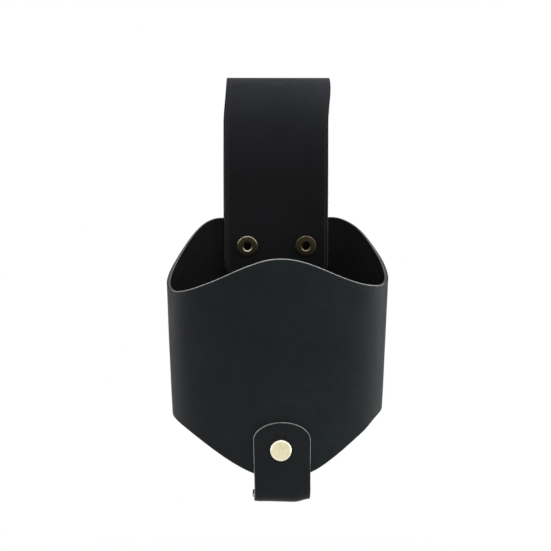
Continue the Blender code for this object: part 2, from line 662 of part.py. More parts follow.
def build():
    for item in list(bpy.data.objects):
        bpy.data.objects.remove(item, do_unlink=True)

    black = material("black_leather", (0.016, 0.018, 0.019), 0.45, 0)
    antique = material("antique_brass", (0.10, 0.085, 0.06), 0.35, 1)
    spring_steel = material("spring_steel", (0.45, 0.45, 0.44), 0.3, 1)
    pale_gold = material("pale_gold", (0.74, 0.68, 0.47), 0.25, 1)

    snap_z = level(SNAP_HEIGHT)
    shank_hole = POST_BARREL + 2 * HOLE_GAP
    post_holes = []
    cap_holes = []
    for side, x in SNAP_SIDES.items():
        front = (x, FRONT_LEG_FACE - LEATHER - CUT_OVERRUN, snap_z)
        back = (x, SLEEVE_BACK_FACE + SEAT_GAP, snap_z)
        post_holes.append(hole_cutter(f"post_hole_{side}", shank_hole, front, back))
        front = (x, FLAP_FACE - SEAT_GAP, snap_z)
        back = (x, FLAP_BACK + CUT_OVERRUN, snap_z)
        cap_holes.append(hole_cutter(f"cap_hole_{side}", CAP_SHANK + 2 * HOLE_GAP, front, back))

    lean = front_lean()
    outward = Vector((0, -math.cos(lean), -math.sin(lean)))
    wall = Vector((0, front_y(0, RIVET_HEIGHT), level(RIVET_HEIGHT)))
    tab_face = wall + outward * (LEATHER / 2 + SEAT_GAP + LEATHER)
    rivet_hole = RIVET_SHANK + 2 * HOLE_GAP
    front_hole = hole_cutter("front_rivet_hole", rivet_hole, wall - outward * CUT_OVERRUN,
                             wall + outward * 2 * CUT_OVERRUN)
    rear_z = wall.z
    rear_hole = hole_cutter("rear_rivet_hole", rivet_hole,
                            (0, INNER_LAP_Y - CUT_OVERRUN, rear_z),
                            (0, STRAP_BACK_Y + CUT_OVERRUN, rear_z))

    sleeve(black, post_holes + [front_hole, rear_hole])
    loop_front(black, post_holes)
    flap = loop_flap(black, cap_holes)
    bottom_strap(black, [front_hole, rear_hole])

    for side, x in SNAP_SIDES.items():
        snap_post(f"snap_post_{side}", x, antique)
        snap_stud(f"snap_stud_{side}", x, antique)
        snap_socket(f"snap_socket_{side}", x, antique, flap)
        snap_spring(f"snap_spring_{side}", x, spring_steel, flap)
        snap_cap(f"snap_cap_{side}", x, antique, flap)

    half, _, _, bulge = oval(RIVET_HEIGHT)
    hollow = (RIVET_DIAMETER / 2) ** 2 * bulge / (2 * half ** 2)
    front_grip = 2 * LEATHER + 3 * SEAT_GAP + hollow
    seat = tab_face + outward * SEAT_GAP
    rivet_cap("front_rivet_cap", pale_gold, seat, lean, front_grip, -1)
    rivet_post("front_rivet_post", antique, seat, lean, front_grip, -1)
    rear_grip = 3 * LEATHER + 4 * SEAT_GAP
    seat = (0, STRAP_BACK_Y + LEATHER / 2 + SEAT_GAP, rear_z)
    rivet_cap("rear_rivet_cap", pale_gold, seat, 0.0, rear_grip, 1)
    rivet_post("rear_rivet_post", antique, seat, 0.0, rear_grip, 1)


build()
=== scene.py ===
"""The looks of the belt drink holder: black leather, bare cut edges, brass snaps and rivets.

Metres, +Z up, in the frame's own axes. The front faces -Y and the wearer stands on the +Y side.
The leather is made again as fine meshes over the frame's plain ones: the sleeve by a rule in
Geometry Nodes, the straps as flat blanks that are bent. The snaps and rivets are turned.
"""

import math

import bmesh
import bpy
from mathutils import Matrix, Vector, noise


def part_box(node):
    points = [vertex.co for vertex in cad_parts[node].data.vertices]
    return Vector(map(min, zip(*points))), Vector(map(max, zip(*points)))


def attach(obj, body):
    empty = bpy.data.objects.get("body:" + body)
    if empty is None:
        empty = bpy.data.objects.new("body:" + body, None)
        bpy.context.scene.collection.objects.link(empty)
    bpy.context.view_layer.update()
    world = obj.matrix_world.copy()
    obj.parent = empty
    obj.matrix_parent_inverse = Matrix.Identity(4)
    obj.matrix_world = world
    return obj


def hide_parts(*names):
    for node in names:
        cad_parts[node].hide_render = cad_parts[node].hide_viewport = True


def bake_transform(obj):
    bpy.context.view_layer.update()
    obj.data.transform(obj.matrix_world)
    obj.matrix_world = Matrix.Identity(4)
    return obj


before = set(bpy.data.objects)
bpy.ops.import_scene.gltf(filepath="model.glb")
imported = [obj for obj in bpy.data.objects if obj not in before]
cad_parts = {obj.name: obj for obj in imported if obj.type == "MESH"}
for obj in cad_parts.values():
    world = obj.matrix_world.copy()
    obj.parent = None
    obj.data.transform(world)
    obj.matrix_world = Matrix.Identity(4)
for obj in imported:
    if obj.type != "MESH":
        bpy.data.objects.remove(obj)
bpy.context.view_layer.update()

# Sizes and places that the frame gives
flap_low, flap_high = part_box("belt_loop_flap")
strap_low, strap_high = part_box("bottom_strap")
TIP_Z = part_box("sleeve")[0].z
SLEEVE_BACK_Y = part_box("sleeve")[1].y
LOOP_HALF_WIDTH = flap_high.x
STRAP_HALF_WIDTH = strap_high.x
LEATHER = 0.0017
SMALL = 1e-6
SMOOTH_ANGLE = math.radians(38)

# Leather edges: the knife's corner is softened, and the bare edge shows pale round it
GRAIN_ROUND = 0.00030
FLESH_ROUND = 0.00025
EDGE_WEAR = 0.0022
ROUND_STEPS = 3

# The sleeve's plan, with its widths on the middle of the leather, and its mesh
MOUTH_WIDTH = 0.1012
HEM_WIDTH = 0.0967
FRONT_BULGE = 0.0195
BACK_BULGE = 0.0150
BACK_FLAT = 0.054
LAP_WIDTH = 0.044
LAP_GAP = 0.0003
SIDE_DIP_HEIGHT = 0.0873
ARCH_HEIGHT = 0.0328
OUTER_LAP_Y = SLEEVE_BACK_Y - LEATHER / 2
INNER_LAP_Y = OUTER_LAP_Y - LEATHER - LAP_GAP
FRONT_COLUMNS = 112
CORNER_COLUMNS = 30
LAP_COLUMNS = 34
SLEEVE_ROWS = 72

# The sleeve's rule: heights over its tip, and shares of the way round from front to back
SLEEVE_RULE = {
    "Leather": LEATHER, "Mouth width": MOUTH_WIDTH, "Hem width": HEM_WIDTH,
    "Crest height": 0.1015, "Dip height": SIDE_DIP_HEIGHT, "Back height": 0.1185,
    "Arch height": ARCH_HEIGHT, "Dip share": 0.42, "Back share": 0.78, "Arch share": 0.60,
    "Lap line": INNER_LAP_Y, "Tip level": TIP_Z, "Settling": 1.0, "Lean": -0.00035,
    "Ripple": 0.0005, "Ripple length": 0.045, "Seed": 4.0, "Edge wear": EDGE_WEAR}

# How this one has settled: side, rise, and where round it that starts, is full, fades and ends
RIM_SETTLING = ((-1, -0.0021, (0.24, 0.54, 0.58, 0.73)), (-1, -0.0003, (0.05, 0.12, 0.24, 0.32)),
                (1, 0.0009, (0.15, 0.40, 0.66, 0.80)), (1, 0.0012, (0.49, 0.57, 0.63, 0.73)))
HEM_SETTLING = ((-1, -0.0025, (0.04, 0.46, 0.60, 0.80)), (1, -0.0012, (0.05, 0.17, 0.36, 0.43)))

# Where the wall is held or free to ripple: a place, and the length or share that it eases over
HELD_BACK = (0.58, 1 / 6)
FREE_BESIDE_TAB = (0.014, 1 / 90)
FREE_ABOVE_TAB = (0.028, 0.020)

# Dye on the sleeve's cut edge: its place round the rim, its shares there, and that on the hem
DYED_ROUND = (0.36, 0.12)
DYED_RIM = (0.68, 0.29)
DYED_HEM = 0.85

# Belt loop: its crown and the splay of its legs on the middle of the leather, and how it skews
LOOP_CROWN_RADIUS = 0.0085
SPLAY_ABOVE_SNAP = 0.0120
SPLAY_RADIUS = 0.030
HINGE_GAP = 0.0003
LOOP_CORNER = 0.004
CORNER_STEPS = 12
LOOP_SKEW = 0.0012
LOOP_SKEW_LENGTH = 0.020
FOLD_DRAW = 0.0002
FOLD_DRAW_LENGTH = 0.050
LEG_WAVE = 0.0003
LEG_WAVE_LENGTH = 0.030
LEG_WAVE_START = 0.009
BLANK_SPACING = 0.0014
FOLD_SPACING = 0.0006
snap_z = sum(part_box("snap_post_left"), Vector()).z / 2
SPLAY_Z = snap_z + SPLAY_ABOVE_SNAP
LEG_Y = flap_low.y + LEATHER / 2
LEG_END_Z = flap_low.z

# Bottom strap, and how it sits on this one. A place is (where it starts, how long it takes).
TAB_STEPS = 56
STRAP_BEND = 0.0045
TAB_ROUND = 0.0083
TAB_ROUNDING = 0.00016
TAB_RISE = 0.0006
TAB_SHIFT = 0.0002
TAB_STRETCH = 1.020
TAB_NARROWING = 0.00085
REAR_LEG_SHIFT = 0.0031
REAR_TAB_SHIFT = 0.0010
REAR_TAB_PLACE = (0.006, 0.012)
REAR_FLARE = 0.0009
FLARE_PLACE = 0.019
FLARE_HALF = 0.005
FLARE_REACH = 0.003
CORNER_CURL = ((0.45, 0.0013), (-0.80, 0.0004))
STRAP_WAVE = 0.0004
STRAP_WAVE_LENGTH = 0.017
STRAP_DYED = 0.8
STRAP_DYED_DOWN = (0.45, 0.30)
STRAP_DYED_ACROSS = (0.50, 0.25)

# Holes
HOLE_STEPS = 48
HOLE_LENGTH = 0.009
HOLE_GAP = 0.0003

# Snaps: the post is a hollow eyelet, the stud and the socket hold each other, the cap is domed
TURN_STEPS = 96
ARC_STEPS = 6
DOME_STEPS = 14
POST_DOME = 0.0012
POST_BORE = 0.0033
POST_BARREL = 0.0041
POST_FUNNEL = 0.0009
POST_ROLL = 0.00065
POST_FALL = 0.00035
POST_CURL = 0.0055
POST_CURL_HEIGHT = 0.0003
# How strong each snap post's painted highlight is: stronger on the left one
POST_WEAR_AND_HIGHLIGHT = {"left": 0.85, "right": 0.48}
STUD_FLANGE = 0.0007
STUD_NECK = 0.0057
STUD_BULB = 0.0064
STUD_NECK_HEIGHT = 0.0016
SOCKET_FLOOR = 0.0006
SOCKET_ROUND = 0.0005
BULB_CLEARANCE = 0.00015
SPRING_WIRE = 0.0006
GROOVE_GAP = 0.00015
CAP_HEIGHT = 0.0020
CAP_ROLL = 0.00045
CAP_SHANK = 0.0032
CAP_FLARE = 0.0048
CAP_FLARE_HEIGHT = 0.0004
CAP_WEAR = 0.35

# Rivets: a cap with a bevelled, rubbed rim and a hollow shank, and a post with a pin
RIVET_DIAMETER = 0.0098
RIVET_THICKNESS = 0.0012
RIVET_ROLL = 0.0007
RIVET_DISH = 0.00006
RIVET_SHANK = 0.0034
RIVET_BORE = 0.0024
RIVET_BACK_THICKNESS = 0.0009
RIVET_SHIFT = (-0.0003, 0.0, 0.0002)

# Loose fibres on the cut edges, most of them on a stretch of the loop's right edge
FIBRES = {"Count per square metre": 3.0e6, "Length": 0.0007, "Thickness": 0.00007,
          "Tilt": 1.1, "Seed": 11}
FUZZY_EDGE = (-0.062, -0.012)
PLAIN_FUZZ = 0.05

# Leather colours, and how much of its specular level each leather keeps
SLEEVE_COLOUR = (0.0056, 0.0084, 0.0093)
LOOP_COLOUR = (0.0265, 0.0280, 0.0316)
STRAP_COLOUR = (0.0084, 0.0094, 0.0104)
SLEEVE_SHEEN = 0.115
LOOP_SHEEN = 0.06
STRAP_SHEEN = 0.11

# The sleeve is plainer in hue on its left, and paler low down as painted light: axis, place, fade,
# tint
SLEEVE_TINTS_AND_LIGHT = ((0, -0.006, 0.020, (1.12, 0.85, 0.91, 1.0)),
                (2, -0.114, 0.036, (1.30, 1.29, 1.28, 1.0)))

# Cut edges: the fibres' colours by depth of tone, and the light left where the edge is dyed
EDGE_STOPS = ((0.30, (0.155, 0.156, 0.155)), (0.52, (0.39, 0.392, 0.39)),
              (0.72, (0.63, 0.632, 0.628)))
DYED_EDGE = 0.07
STRAP_EDGE = 0.74

# Painted light and shade on the loop: paler towards its crown and darker low down, and its right
# side lighter high up and darker low down: shares of its colour by height, and its right side's
FADE_LOW = -0.080
LOOP_PAINTED_LIGHT = ((0.00, 0.235), (0.42, 0.20), (0.58, 0.28), (0.72, 0.40), (0.81, 0.56),
             (0.895, 0.77), (0.98, 0.76))
RIGHT_PAINTED_LIGHT = (-0.55, 0.85)

# Faint rubbed marks near the top of the loop: place, radius, strength
MARK_FLATNESS = 2.6
LOOP_MARKS = (((0.0004, -0.0065, -0.0012), 0.0050, 0.24),
              ((0.0212, -0.0080, -0.0032), 0.0040, 0.18),
              ((0.0102, -0.0094, -0.0100), 0.0022, 0.12),
              ((-0.0126, -0.0088, -0.0306), 0.0018, 0.08))

# Studio, and the camera from the photograph's framing
WORLD_LIGHT = 0.40
FLOOR_Z = -0.42
FLOOR_HALF = 4.0
FLOOR_SHADOW_REACH = 0.55
LAMPS = (("key", (0.25, -0.95, 0.85), 0.9, 6.0), ("top", (-0.05, 0.10, 0.90), 0.7, 3.0),
         ("left", (-1.05, 0.10, 0.10), 0.9, 9.5), ("right", (1.05, -0.05, 0.10), 0.9, 13.0))
VIEW_AZIMUTH = math.radians(-4.0)
VIEW_ELEVATION = math.radians(4.5)
VIEW_DISTANCE = 0.95
VIEW_CENTRE = Vector((-0.0012, -0.017, -0.0901))
LENS = 133.5
SENSOR = 36.0


def operator(operation, reflected=False):
    """An operator of Graph, which adds a Math node."""
    if reflected:
        return lambda self, other: self.maths(operation, other, self)
    return lambda self, other: self.maths(operation, self, other)


class Graph:
    """A node tree or one of its sockets. Arithmetic on it adds Math nodes."""

    __add__, __radd__ = operator("ADD"), operator("ADD", True)
    __sub__, __rsub__ = operator("SUBTRACT"), operator("SUBTRACT", True)
    __mul__, __rmul__ = operator("MULTIPLY"), operator("MULTIPLY", True)
    __truediv__, __rtruediv__ = operator("DIVIDE"), operator("DIVIDE", True)
    __lt__ = operator("LESS_THAN")

    def __init__(self, tree, socket=None):
        self.tree = tree
        self.socket = socket

    def node(self, kind, settings=None, sockets=None, output=0):
        """Add a node: its settings first, then its sockets by name or number."""
        made = self.tree.nodes.new(kind)
        for name, value in (settings or {}).items():
            if name == "stops":
                fill_ramp(made.color_ramp, value)
            else:
                setattr(made, name, value)
        for name, value in (sockets or {}).items():
            self.feed(made.inputs[name], value)
        return Graph(self.tree, made.outputs[output] if made.outputs else None)

    def feed(self, socket, value):
        if isinstance(value, Graph):
            self.tree.links.new(value.socket, socket)
        else:
            socket.default_value = value

    def other(self, output):
        """Another output of the node that this socket belongs to."""
        return Graph(self.tree, self.socket.node.outputs[output])

    def maths(self, operation, *values, clamp=False):
        settings = {"operation": operation, "use_clamp": clamp}
        return self.node("ShaderNodeMath", settings, dict(enumerate(values)))

    def clamped(self):
        return self.maths("ADD", self, 0.0, clamp=True)

    def ramp(self, low, high):
        """0 below low, 1 above high, smooth between them."""
        settings = {"interpolation_type": "SMOOTHSTEP"}
        return self.node("ShaderNodeMapRange", settings, {0: self, 1: low, 2: high})

    def ease(self, start=0.0, length=1.0):
        """Half a cosine wave, from 0 at the start to 1 a length on, held at both ends."""
        share = ((self - start) / length).clamped()
        return (1.0 - self.maths("COSINE", share * math.pi)) * 0.5

    def parts(self):
        """The x, y and z of a vector."""
        split = self.node("ShaderNodeSeparateXYZ", sockets={0: self})
        return split, split.other(1), split.other(2)

    def vector(self, x, y, z):
        return self.node("ShaderNodeCombineXYZ", sockets={0: x, 1: y, 2: z})

    def blend(self, factor, colour_a, colour_b, kind="MIX"):
        """Mix two colours."""
        settings = {"data_type": "RGBA", "blend_type": kind}
        return self.node("ShaderNodeMix", settings, {0: factor, 6: colour_a, 7: colour_b}, 2)

    def cloud(self, place, size, detail=2.0, rough=0.5):
        """Soft noise whose lumps have that size in millimetres."""
        sockets = {"Vector": place, "Scale": 1000 / size, "Detail": detail, "Roughness": rough}
        return self.node("ShaderNodeTexNoise", sockets=sockets)

    def cells(self, place, size):
        """Distance to the middle of the nearest cell, with that spacing in millimetres."""
        sockets = {"Vector": place, "Scale": 1000 / size}
        return self.node("ShaderNodeTexVoronoi", sockets=sockets, output="Distance")

    def scaled(self, place, x, y, z):
        """Coordinates stretched by a Mapping node."""
        return self.node("ShaderNodeMapping", sockets={"Vector": place, "Scale": (x, y, z)})

    def painted(self, name):
        """A shader's reading of a mesh's attribute."""
        return self.node("ShaderNodeAttribute", {"attribute_name": name}, output="Fac")

    def stored(self, name):
        """A Geometry Nodes tree's reading of a float attribute."""
        settings = {"data_type": "FLOAT"}
        return self.node("GeometryNodeInputNamedAttribute", settings, {"Name": name})


def fill_ramp(ramp, stops):
    """Set a colour ramp's stops from (place, colour) pairs."""
    while len(ramp.elements) < len(stops):
        ramp.elements.new(0.5)
    for element, (place, colour) in zip(ramp.elements, stops):
        element.position = place
        element.color = (*colour, 1.0)


def grey(level):
    return (level, level, level, 1.0)


def shaded(colour, level):
    """A colour made lighter or darker by one factor."""
    return tuple(channel * level for channel in colour) + (1.0,)


def new_finish(name):
    """A material, a Graph over its nodes, and its Object coordinates."""
    material = bpy.data.materials.new(name)
    material.use_nodes = True
    graph = Graph(material.node_tree)
    return material, graph, graph.node("ShaderNodeTexCoord", output="Object")


def complete(material, height, depth, sockets):
    """Feed a material's shader. A height from 0 to 1 is a bump of that depth in millimetres."""
    graph = Graph(material.node_tree)
    bump = {"Strength": 1.0, "Distance": depth / 1000, "Height": height}
    sockets["Normal"] = graph.node("ShaderNodeBump", sockets=bump)
    for name, value in sockets.items():
        graph.feed(material.node_tree.nodes["Principled BSDF"].inputs[name], value)
    return material


def grain(graph, place, colour, stretch, creased, lump, fleck, contrast):
    """Pores, fine grain and creases as a height, clouds, flecks, and the colour they shade."""
    pores = graph.cells(place, 0.75)
    fine = graph.cloud(place, 0.35, 3.0)
    creases = graph.cloud(graph.scaled(place, *stretch), 5, 4.0, 0.6)
    height = pores * 0.30 + fine * 0.25 + creases * creased
    cloudy = graph.cloud(place, lump, 5.0, 0.55).ramp(0.35, 0.65)
    mottled = graph.cloud(place, fleck, 3.0).ramp(0.3, 0.7)
    base = graph.blend(cloudy * 0.6 + mottled * 0.4, shaded(colour, 1 - contrast),
                       shaded(colour, 1 + contrast))
    return height, cloudy, mottled, base


def leather_grain(name, colour, sheen, tints_and_light=()):
    """Pigmented grain side: fine pores, faint creases, a cloudy sheen, scuffed paler at the edges.

    A tint colours it below a place on an axis, and one that makes it paler there is painted light:
    the axis, the place, the length of its fade.
    """
    material, graph, place = new_finish(name)
    height, cloudy, mottled, base = grain(graph, place, colour, (1.0, 1.0, 0.45), 0.9, 24, 3, 0.16)
    # A tint that makes the leather paler is painted light
    for axis, start, length, tint in tints_and_light:
        reach = (start - place.parts()[axis]).ramp(0.0, length)
        base = graph.blend(reach, base, graph.blend(1.0, base, tint, "MULTIPLY"))
    dust = (0.035 - graph.cells(place, 6)).ramp(0.0, 0.02)
    scuffs = graph.cloud(graph.scaled(place, 1.0, 1.0, 0.2), 2.2, 4.0, 0.7)
    scuffs = scuffs.ramp(0.66, 0.80) * graph.cloud(place, 30).ramp(0.45, 0.7)
    pale = (dust * 0.25 + scuffs * 0.12).clamped()
    base = graph.blend(pale, base, (0.085, 0.085, 0.088, 1.0))
    rubbed_and_lit = graph.painted("wear").ramp(0.71, 1.0) * graph.cloud(place, 1.6, 3.0).ramp(0.35, 0.62)
    return complete(material, height, 0.05, {
        "Base Color": graph.blend(rubbed_and_lit * 0.35, base, grey(0.07)),
        "Roughness": 0.38 + cloudy * 0.08 + mottled * 0.06 - rubbed_and_lit * 0.06,
        "Specular IOR Level": sheen})


def loop_grain_with_painted_light():
    """The loop's grain: painted light towards its crown and high on its right, painted shade low
    down and low on its right, smeared marks near the crown, and dyed dark edges.
    """
    material, graph, place = new_finish("leather_grain_loop")
    relief, cloudy, mottled, base = grain(graph, place, LOOP_COLOUR, (0.7, 1.0, 1.0), 0.8, 20, 2.6,
                                          0.14)
    across, _, up = place.parts()
    # Painted light and shade: the colour rises with height from FADE_LOW up to the crown, and the
    # right side is lighter high up and darker low down
    height = (up - FADE_LOW) / -FADE_LOW
    stops = [(share, (level, level, level)) for share, level in LOOP_PAINTED_LIGHT]
    fade = graph.node("ShaderNodeValToRGB", {"stops": stops}, {0: height})
    right = 1.0 + across.ramp(0.0, LOOP_HALF_WIDTH) * (height * RIGHT_PAINTED_LIGHT[1] + RIGHT_PAINTED_LIGHT[0])
    fade = graph.blend(1.0, fade, graph.vector(right, right, right), "MULTIPLY")
    base = graph.blend(1.0, base, fade, "MULTIPLY")
    flat_place = graph.scaled(place, 1.0, 1.0, MARK_FLATNESS)
    ragged = graph.cloud(flat_place, 2.0, 5.0, 0.65).ramp(0.40, 0.70)
    smears = 0.0
    for (x, y, z), radius, strength in LOOP_MARKS:
        away = graph.node("ShaderNodeVectorMath", {"operation": "DISTANCE"},
                          {0: flat_place, 1: (x, y, z * MARK_FLATNESS)}, "Value")
        smears = (1.0 - away.ramp(0.0, radius)) * ragged * strength + smears
    base = graph.blend(smears, base, (0.10, 0.10, 0.104, 1.0))
    wear = graph.painted("wear")
    strip = wear.ramp(0.10, 0.35) * (1.0 - wear.ramp(0.45, 0.70))
    base = graph.blend(strip * 0.25, base, shaded(LOOP_COLOUR, 1.2))
    base = graph.blend(wear.ramp(0.74, 0.90) * 0.75, base, shaded(LOOP_COLOUR, 0.16))
    return complete(material, relief, 0.05, {
        "Base Color": base, "Roughness": 0.50 + cloudy * 0.06 + mottled * 0.06,
        "Specular IOR Level": LOOP_SHEEN})


def leather_flesh():
    """Dyed flesh side: a short nap with lighter fibres, dull and dark, paler in a band on the
    left.
    """
    material, graph, place = new_finish("leather_flesh")
    nap = graph.cloud(place, 0.5, 5.0, 0.7)
    patches = graph.cloud(place, 14, 3.0).ramp(0.35, 0.65)
    fibres = graph.cloud(graph.scaled(place, 1.0, 1.0, 0.25), 0.8, 5.0, 0.75)
    across = place.parts()[0]
    rubbed_and_lit = across.ramp(-0.047, -0.031) * (1.0 - across.ramp(-0.028, -0.020))
    lit = fibres.ramp(0.5, 0.75) * 0.5 + patches * 0.3 + rubbed_and_lit * 0.25
    base = graph.blend(lit, (0.0029, 0.0031, 0.0030, 1.0), (0.0110, 0.0117, 0.0113, 1.0))
    return complete(material, nap * 0.6 + fibres * 0.6, 0.14, {
        "Base Color": base, "Roughness": 0.86 + patches * 0.1, "Specular IOR Level": 0.08})


def leather_cut_edge(name, light):
    """Edge left by the knife: fibres in layers, pale where it is bare and dark where dyed."""
    material, graph, place = new_finish(name)
    fibre = graph.cloud(place, 0.28, 5.0, 0.7)
    layers = graph.cloud(graph.scaled(place, 0.3, 1.0, 0.3), 0.5, 3.0)
    patches = graph.cloud(place, 7, 3.0).ramp(0.35, 0.7)
    stops = [(share, tuple(light * channel for channel in colour))
             for share, colour in EDGE_STOPS]
    base = graph.node("ShaderNodeValToRGB", {"stops": stops}, {0: fibre * 0.5 + layers * 0.5})
    base = graph.blend(patches * 0.3, base, grey(0.16 * light))
    return complete(material, fibre * 0.6 + layers * 0.4, 0.10, {
        "Base Color": graph.blend(graph.painted("dyed"), base, grey(0.012)),
        "Roughness": 0.82 + fibre * 0.15, "Specular IOR Level": 0.2})


def antique_brass():
    """Brass aged dark in its hollows, its near-black base partly painted shade, bright on its rims
    where scuffed, and on the snap posts where painted highlight falls.
    """
    material, graph, place = new_finish("aged_brass_painted_shade")
    patina = graph.cloud(place, 1.1, 5.0, 0.65)
    specks = graph.cells(place, 0.9)
    bright = (graph.painted("wear") * 1.1 + patina * 0.9 - 0.45).ramp(0.15, 0.95)
    # The near-black colour is partly painted shade in the pocket; the bright one is scuffing, and
    # on the snap posts painted highlight
    base = graph.blend(bright, (0.026, 0.022, 0.012, 1.0), (0.40, 0.36, 0.25, 1.0))
    pits = (0.16 - specks).ramp(0.0, 0.1)
    return complete(material, patina * 0.5 + specks * 0.5, 0.02, {
        "Base Color": graph.blend(pits * 0.6, base, (0.03, 0.024, 0.015, 1)),
        "Roughness": 0.46 - bright * 0.14 + patina * 0.1, "Metallic": 1.0})


def pale_gold():
    """Plated cap: pale gold, tumbled satin, with a few dark nicks."""
    material, graph, place = new_finish("pale_gold_plate")
    satin = graph.cloud(place, 0.25, 4.0, 0.7)
    stain = graph.cloud(place, 2.4, 4.0, 0.6).ramp(0.35, 0.7)
    nicks = (0.05 - graph.cells(place, 1.4)).ramp(0.0, 0.03)
    wear = graph.painted("wear")
    base = graph.blend(stain, (0.80, 0.735, 0.50, 1.0), (0.70, 0.635, 0.42, 1.0))
    base = graph.blend(wear * 0.8, base, (0.92, 0.89, 0.74, 1.0))
    return complete(material, satin, 0.008, {
        "Base Color": graph.blend(nicks * 0.5, base, (0.30, 0.26, 0.15, 1.0)),
        "Metallic": 0.72 + wear * 0.1, "Roughness": 0.36 + satin * 0.08 + stain * 0.05})


def spring_steel():
    """Drawn steel wire: faint lines along it and a thin oil film."""
    material, graph, place = new_finish("drawn_steel")
    lines = graph.cloud(graph.scaled(place, 1.0, 6.0, 1.0), 0.5, 4.0)
    return complete(material, lines, 0.006, {
        "Base Color": graph.blend(lines.ramp(0.35, 0.65), grey(0.36), grey(0.52)),
        "Roughness": 0.24 + lines * 0.16, "Metallic": 1.0})


SOCKETS = {float: "NodeSocketFloat", int: "NodeSocketInt", bpy.types.Object: "NodeSocketObject",
           bpy.types.Material: "NodeSocketMaterial"}


def new_tree(name, values):
    """A Geometry Nodes tree with an input for each value: a Graph over it, and its inputs."""
    tree = bpy.data.node_groups.new(name, "GeometryNodeTree")
    for in_out in ("INPUT", "OUTPUT"):
        tree.interface.new_socket("Geometry", in_out=in_out, socket_type="NodeSocketGeometry")
    for label, value in values.items():
        tree.interface.new_socket(label, in_out="INPUT", socket_type=SOCKETS[type(value)])
    graph = Graph(tree)
    source = graph.node("NodeGroupInput")
    return graph, {label: source.other(label) for label in ("Geometry", *values)}


def close_tree(graph, geometry):
    """End a tree in its output, with its instances made real."""
    real = graph.node("GeometryNodeRealizeInstances", sockets={"Geometry": geometry})
    graph.node("NodeGroupOutput", sockets={"Geometry": real})
    return graph.tree


def set_material(graph, geometry, material, selection=True):
    sockets = {"Geometry": geometry, "Selection": selection, "Material": material}
    return graph.node("GeometryNodeSetMaterial", sockets=sockets)


def keep_result(piece, modifier):
    """Make a modifier's result the object's own plain mesh."""
    bpy.context.view_layer.update()
    depsgraph = bpy.context.evaluated_depsgraph_get()
    mesh = bpy.data.meshes.new_from_object(piece.evaluated_get(depsgraph),
                                           preserve_all_data_layers=True, depsgraph=depsgraph)
    piece.modifiers.remove(modifier)
    piece.data = mesh
    return piece


def grow(base, tree, values):
    """Run a tree on an object."""
    modifier = base.modifiers.new(tree.name, "NODES")
    modifier.node_group = tree
    for item in tree.interface.items_tree:
        if item.in_out == "INPUT" and item.name in values:
            modifier[item.identifier] = values[item.name]
    return keep_result(base, modifier)


def link(name, data):
    piece = bpy.data.objects.new(name, data)
    bpy.context.scene.collection.objects.link(piece)
    return piece


def link_mesh(name, bm, finishes=()):
    """Turn a bmesh into an object with its materials."""
    mesh = bpy.data.meshes.new(name)
    bm.to_mesh(mesh)
    bm.free()
    for finish in finishes:
        mesh.materials.append(finish)
    return link(name, mesh)


def tidy_mesh(piece):
    """Turn a closed mesh's faces outwards and shade it smooth up to an angle."""
    bm = bmesh.new()
    bm.from_mesh(piece.data)
    bmesh.ops.recalc_face_normals(bm, faces=bm.faces)
    bm.to_mesh(piece.data)
    bm.free()
    piece.data.shade_smooth()
    piece.data.set_sharp_from_angle(angle=SMOOTH_ANGLE)
    return piece


def polyline(name, points, closed, labels, rows):
    """A chain of points as a mesh, each with its row of values of the labelled attributes."""
    edges = [(i, i + 1) for i in range(len(points) - 1)]
    if closed:
        edges.append((len(points) - 1, 0))
    mesh = bpy.data.meshes.new(name)
    mesh.from_pydata(points, edges, [])
    for label, values in zip(labels, zip(*rows)):
        mesh.attributes.new(label, "FLOAT", "POINT").data.foreach_set("value", list(values))
    return link(name, mesh)


def ease(place, start=0, length=1):
    """Half a cosine wave, from 0 at the start to 1 a length on, held at both ends."""
    return (1 - math.cos(math.pi * min(max((place - start) / length, 0), 1))) / 2


def between(low, high, share):
    return low + (high - low) * share


def softened(radius):
    """A cut corner's quarter round: how far each point lies in from the side and the face."""
    turns = [math.pi / 2 * i / ROUND_STEPS for i in range(ROUND_STEPS + 1)]
    return [(radius * (1 - math.sin(a)), radius * (1 - math.cos(a))) for a in turns]


def oval_column(angle, middle_x, width, depth, lapped=0):
    """A column where the plan follows an ellipse, at an angle from its y axis."""
    outward = Vector((math.sin(angle) / width, math.cos(angle) / (depth + lapped))).normalized()
    return (middle_x + width * math.sin(angle), INNER_LAP_Y - BACK_BULGE + depth * math.cos(angle),
            *outward, lapped * math.cos(angle), 1)


def plan_columns():
    """The strip's plan from its outer end, round the front, to its inner end.

    Each column is (x, y, outward x, outward y, lap, swell): y runs as if nothing were lapped,
    lap is how far the outer layer lies behind that, and swell is the share of the thickness.
    """
    half, flat, lap = MOUTH_WIDTH / 2, BACK_FLAT / 2, LAP_WIDTH / 2
    step = OUTER_LAP_Y - INNER_LAP_Y
    ends = [(away, 1 - fall / (LEATHER / 2)) for fall, away in softened(GRAIN_ROUND)]
    back = [(away - lap, swell) for away, swell in ends]
    back += [(between(back[-1][0], flat, i / LAP_COLUMNS), 1) for i in range(1, LAP_COLUMNS)]
    quarter = [math.pi / 2 * i / CORNER_COLUMNS for i in range(CORNER_COLUMNS)]
    turns = [math.pi * (0.5 - i / FRONT_COLUMNS) for i in range(FRONT_COLUMNS + 1)]
    columns = [(x, INNER_LAP_Y, 0, 1, step, swell) for x, swell in back]
    columns += [oval_column(angle, flat, half - flat, BACK_BULGE, step) for angle in quarter]
    columns += [oval_column(angle, 0, half, -FRONT_BULGE) for angle in turns]
    columns += [oval_column(-angle, -flat, half - flat, BACK_BULGE) for angle in quarter[::-1]]
    return columns + [(-x, INNER_LAP_Y, 0, 1, 0, swell) for x, swell in back[::-1]]


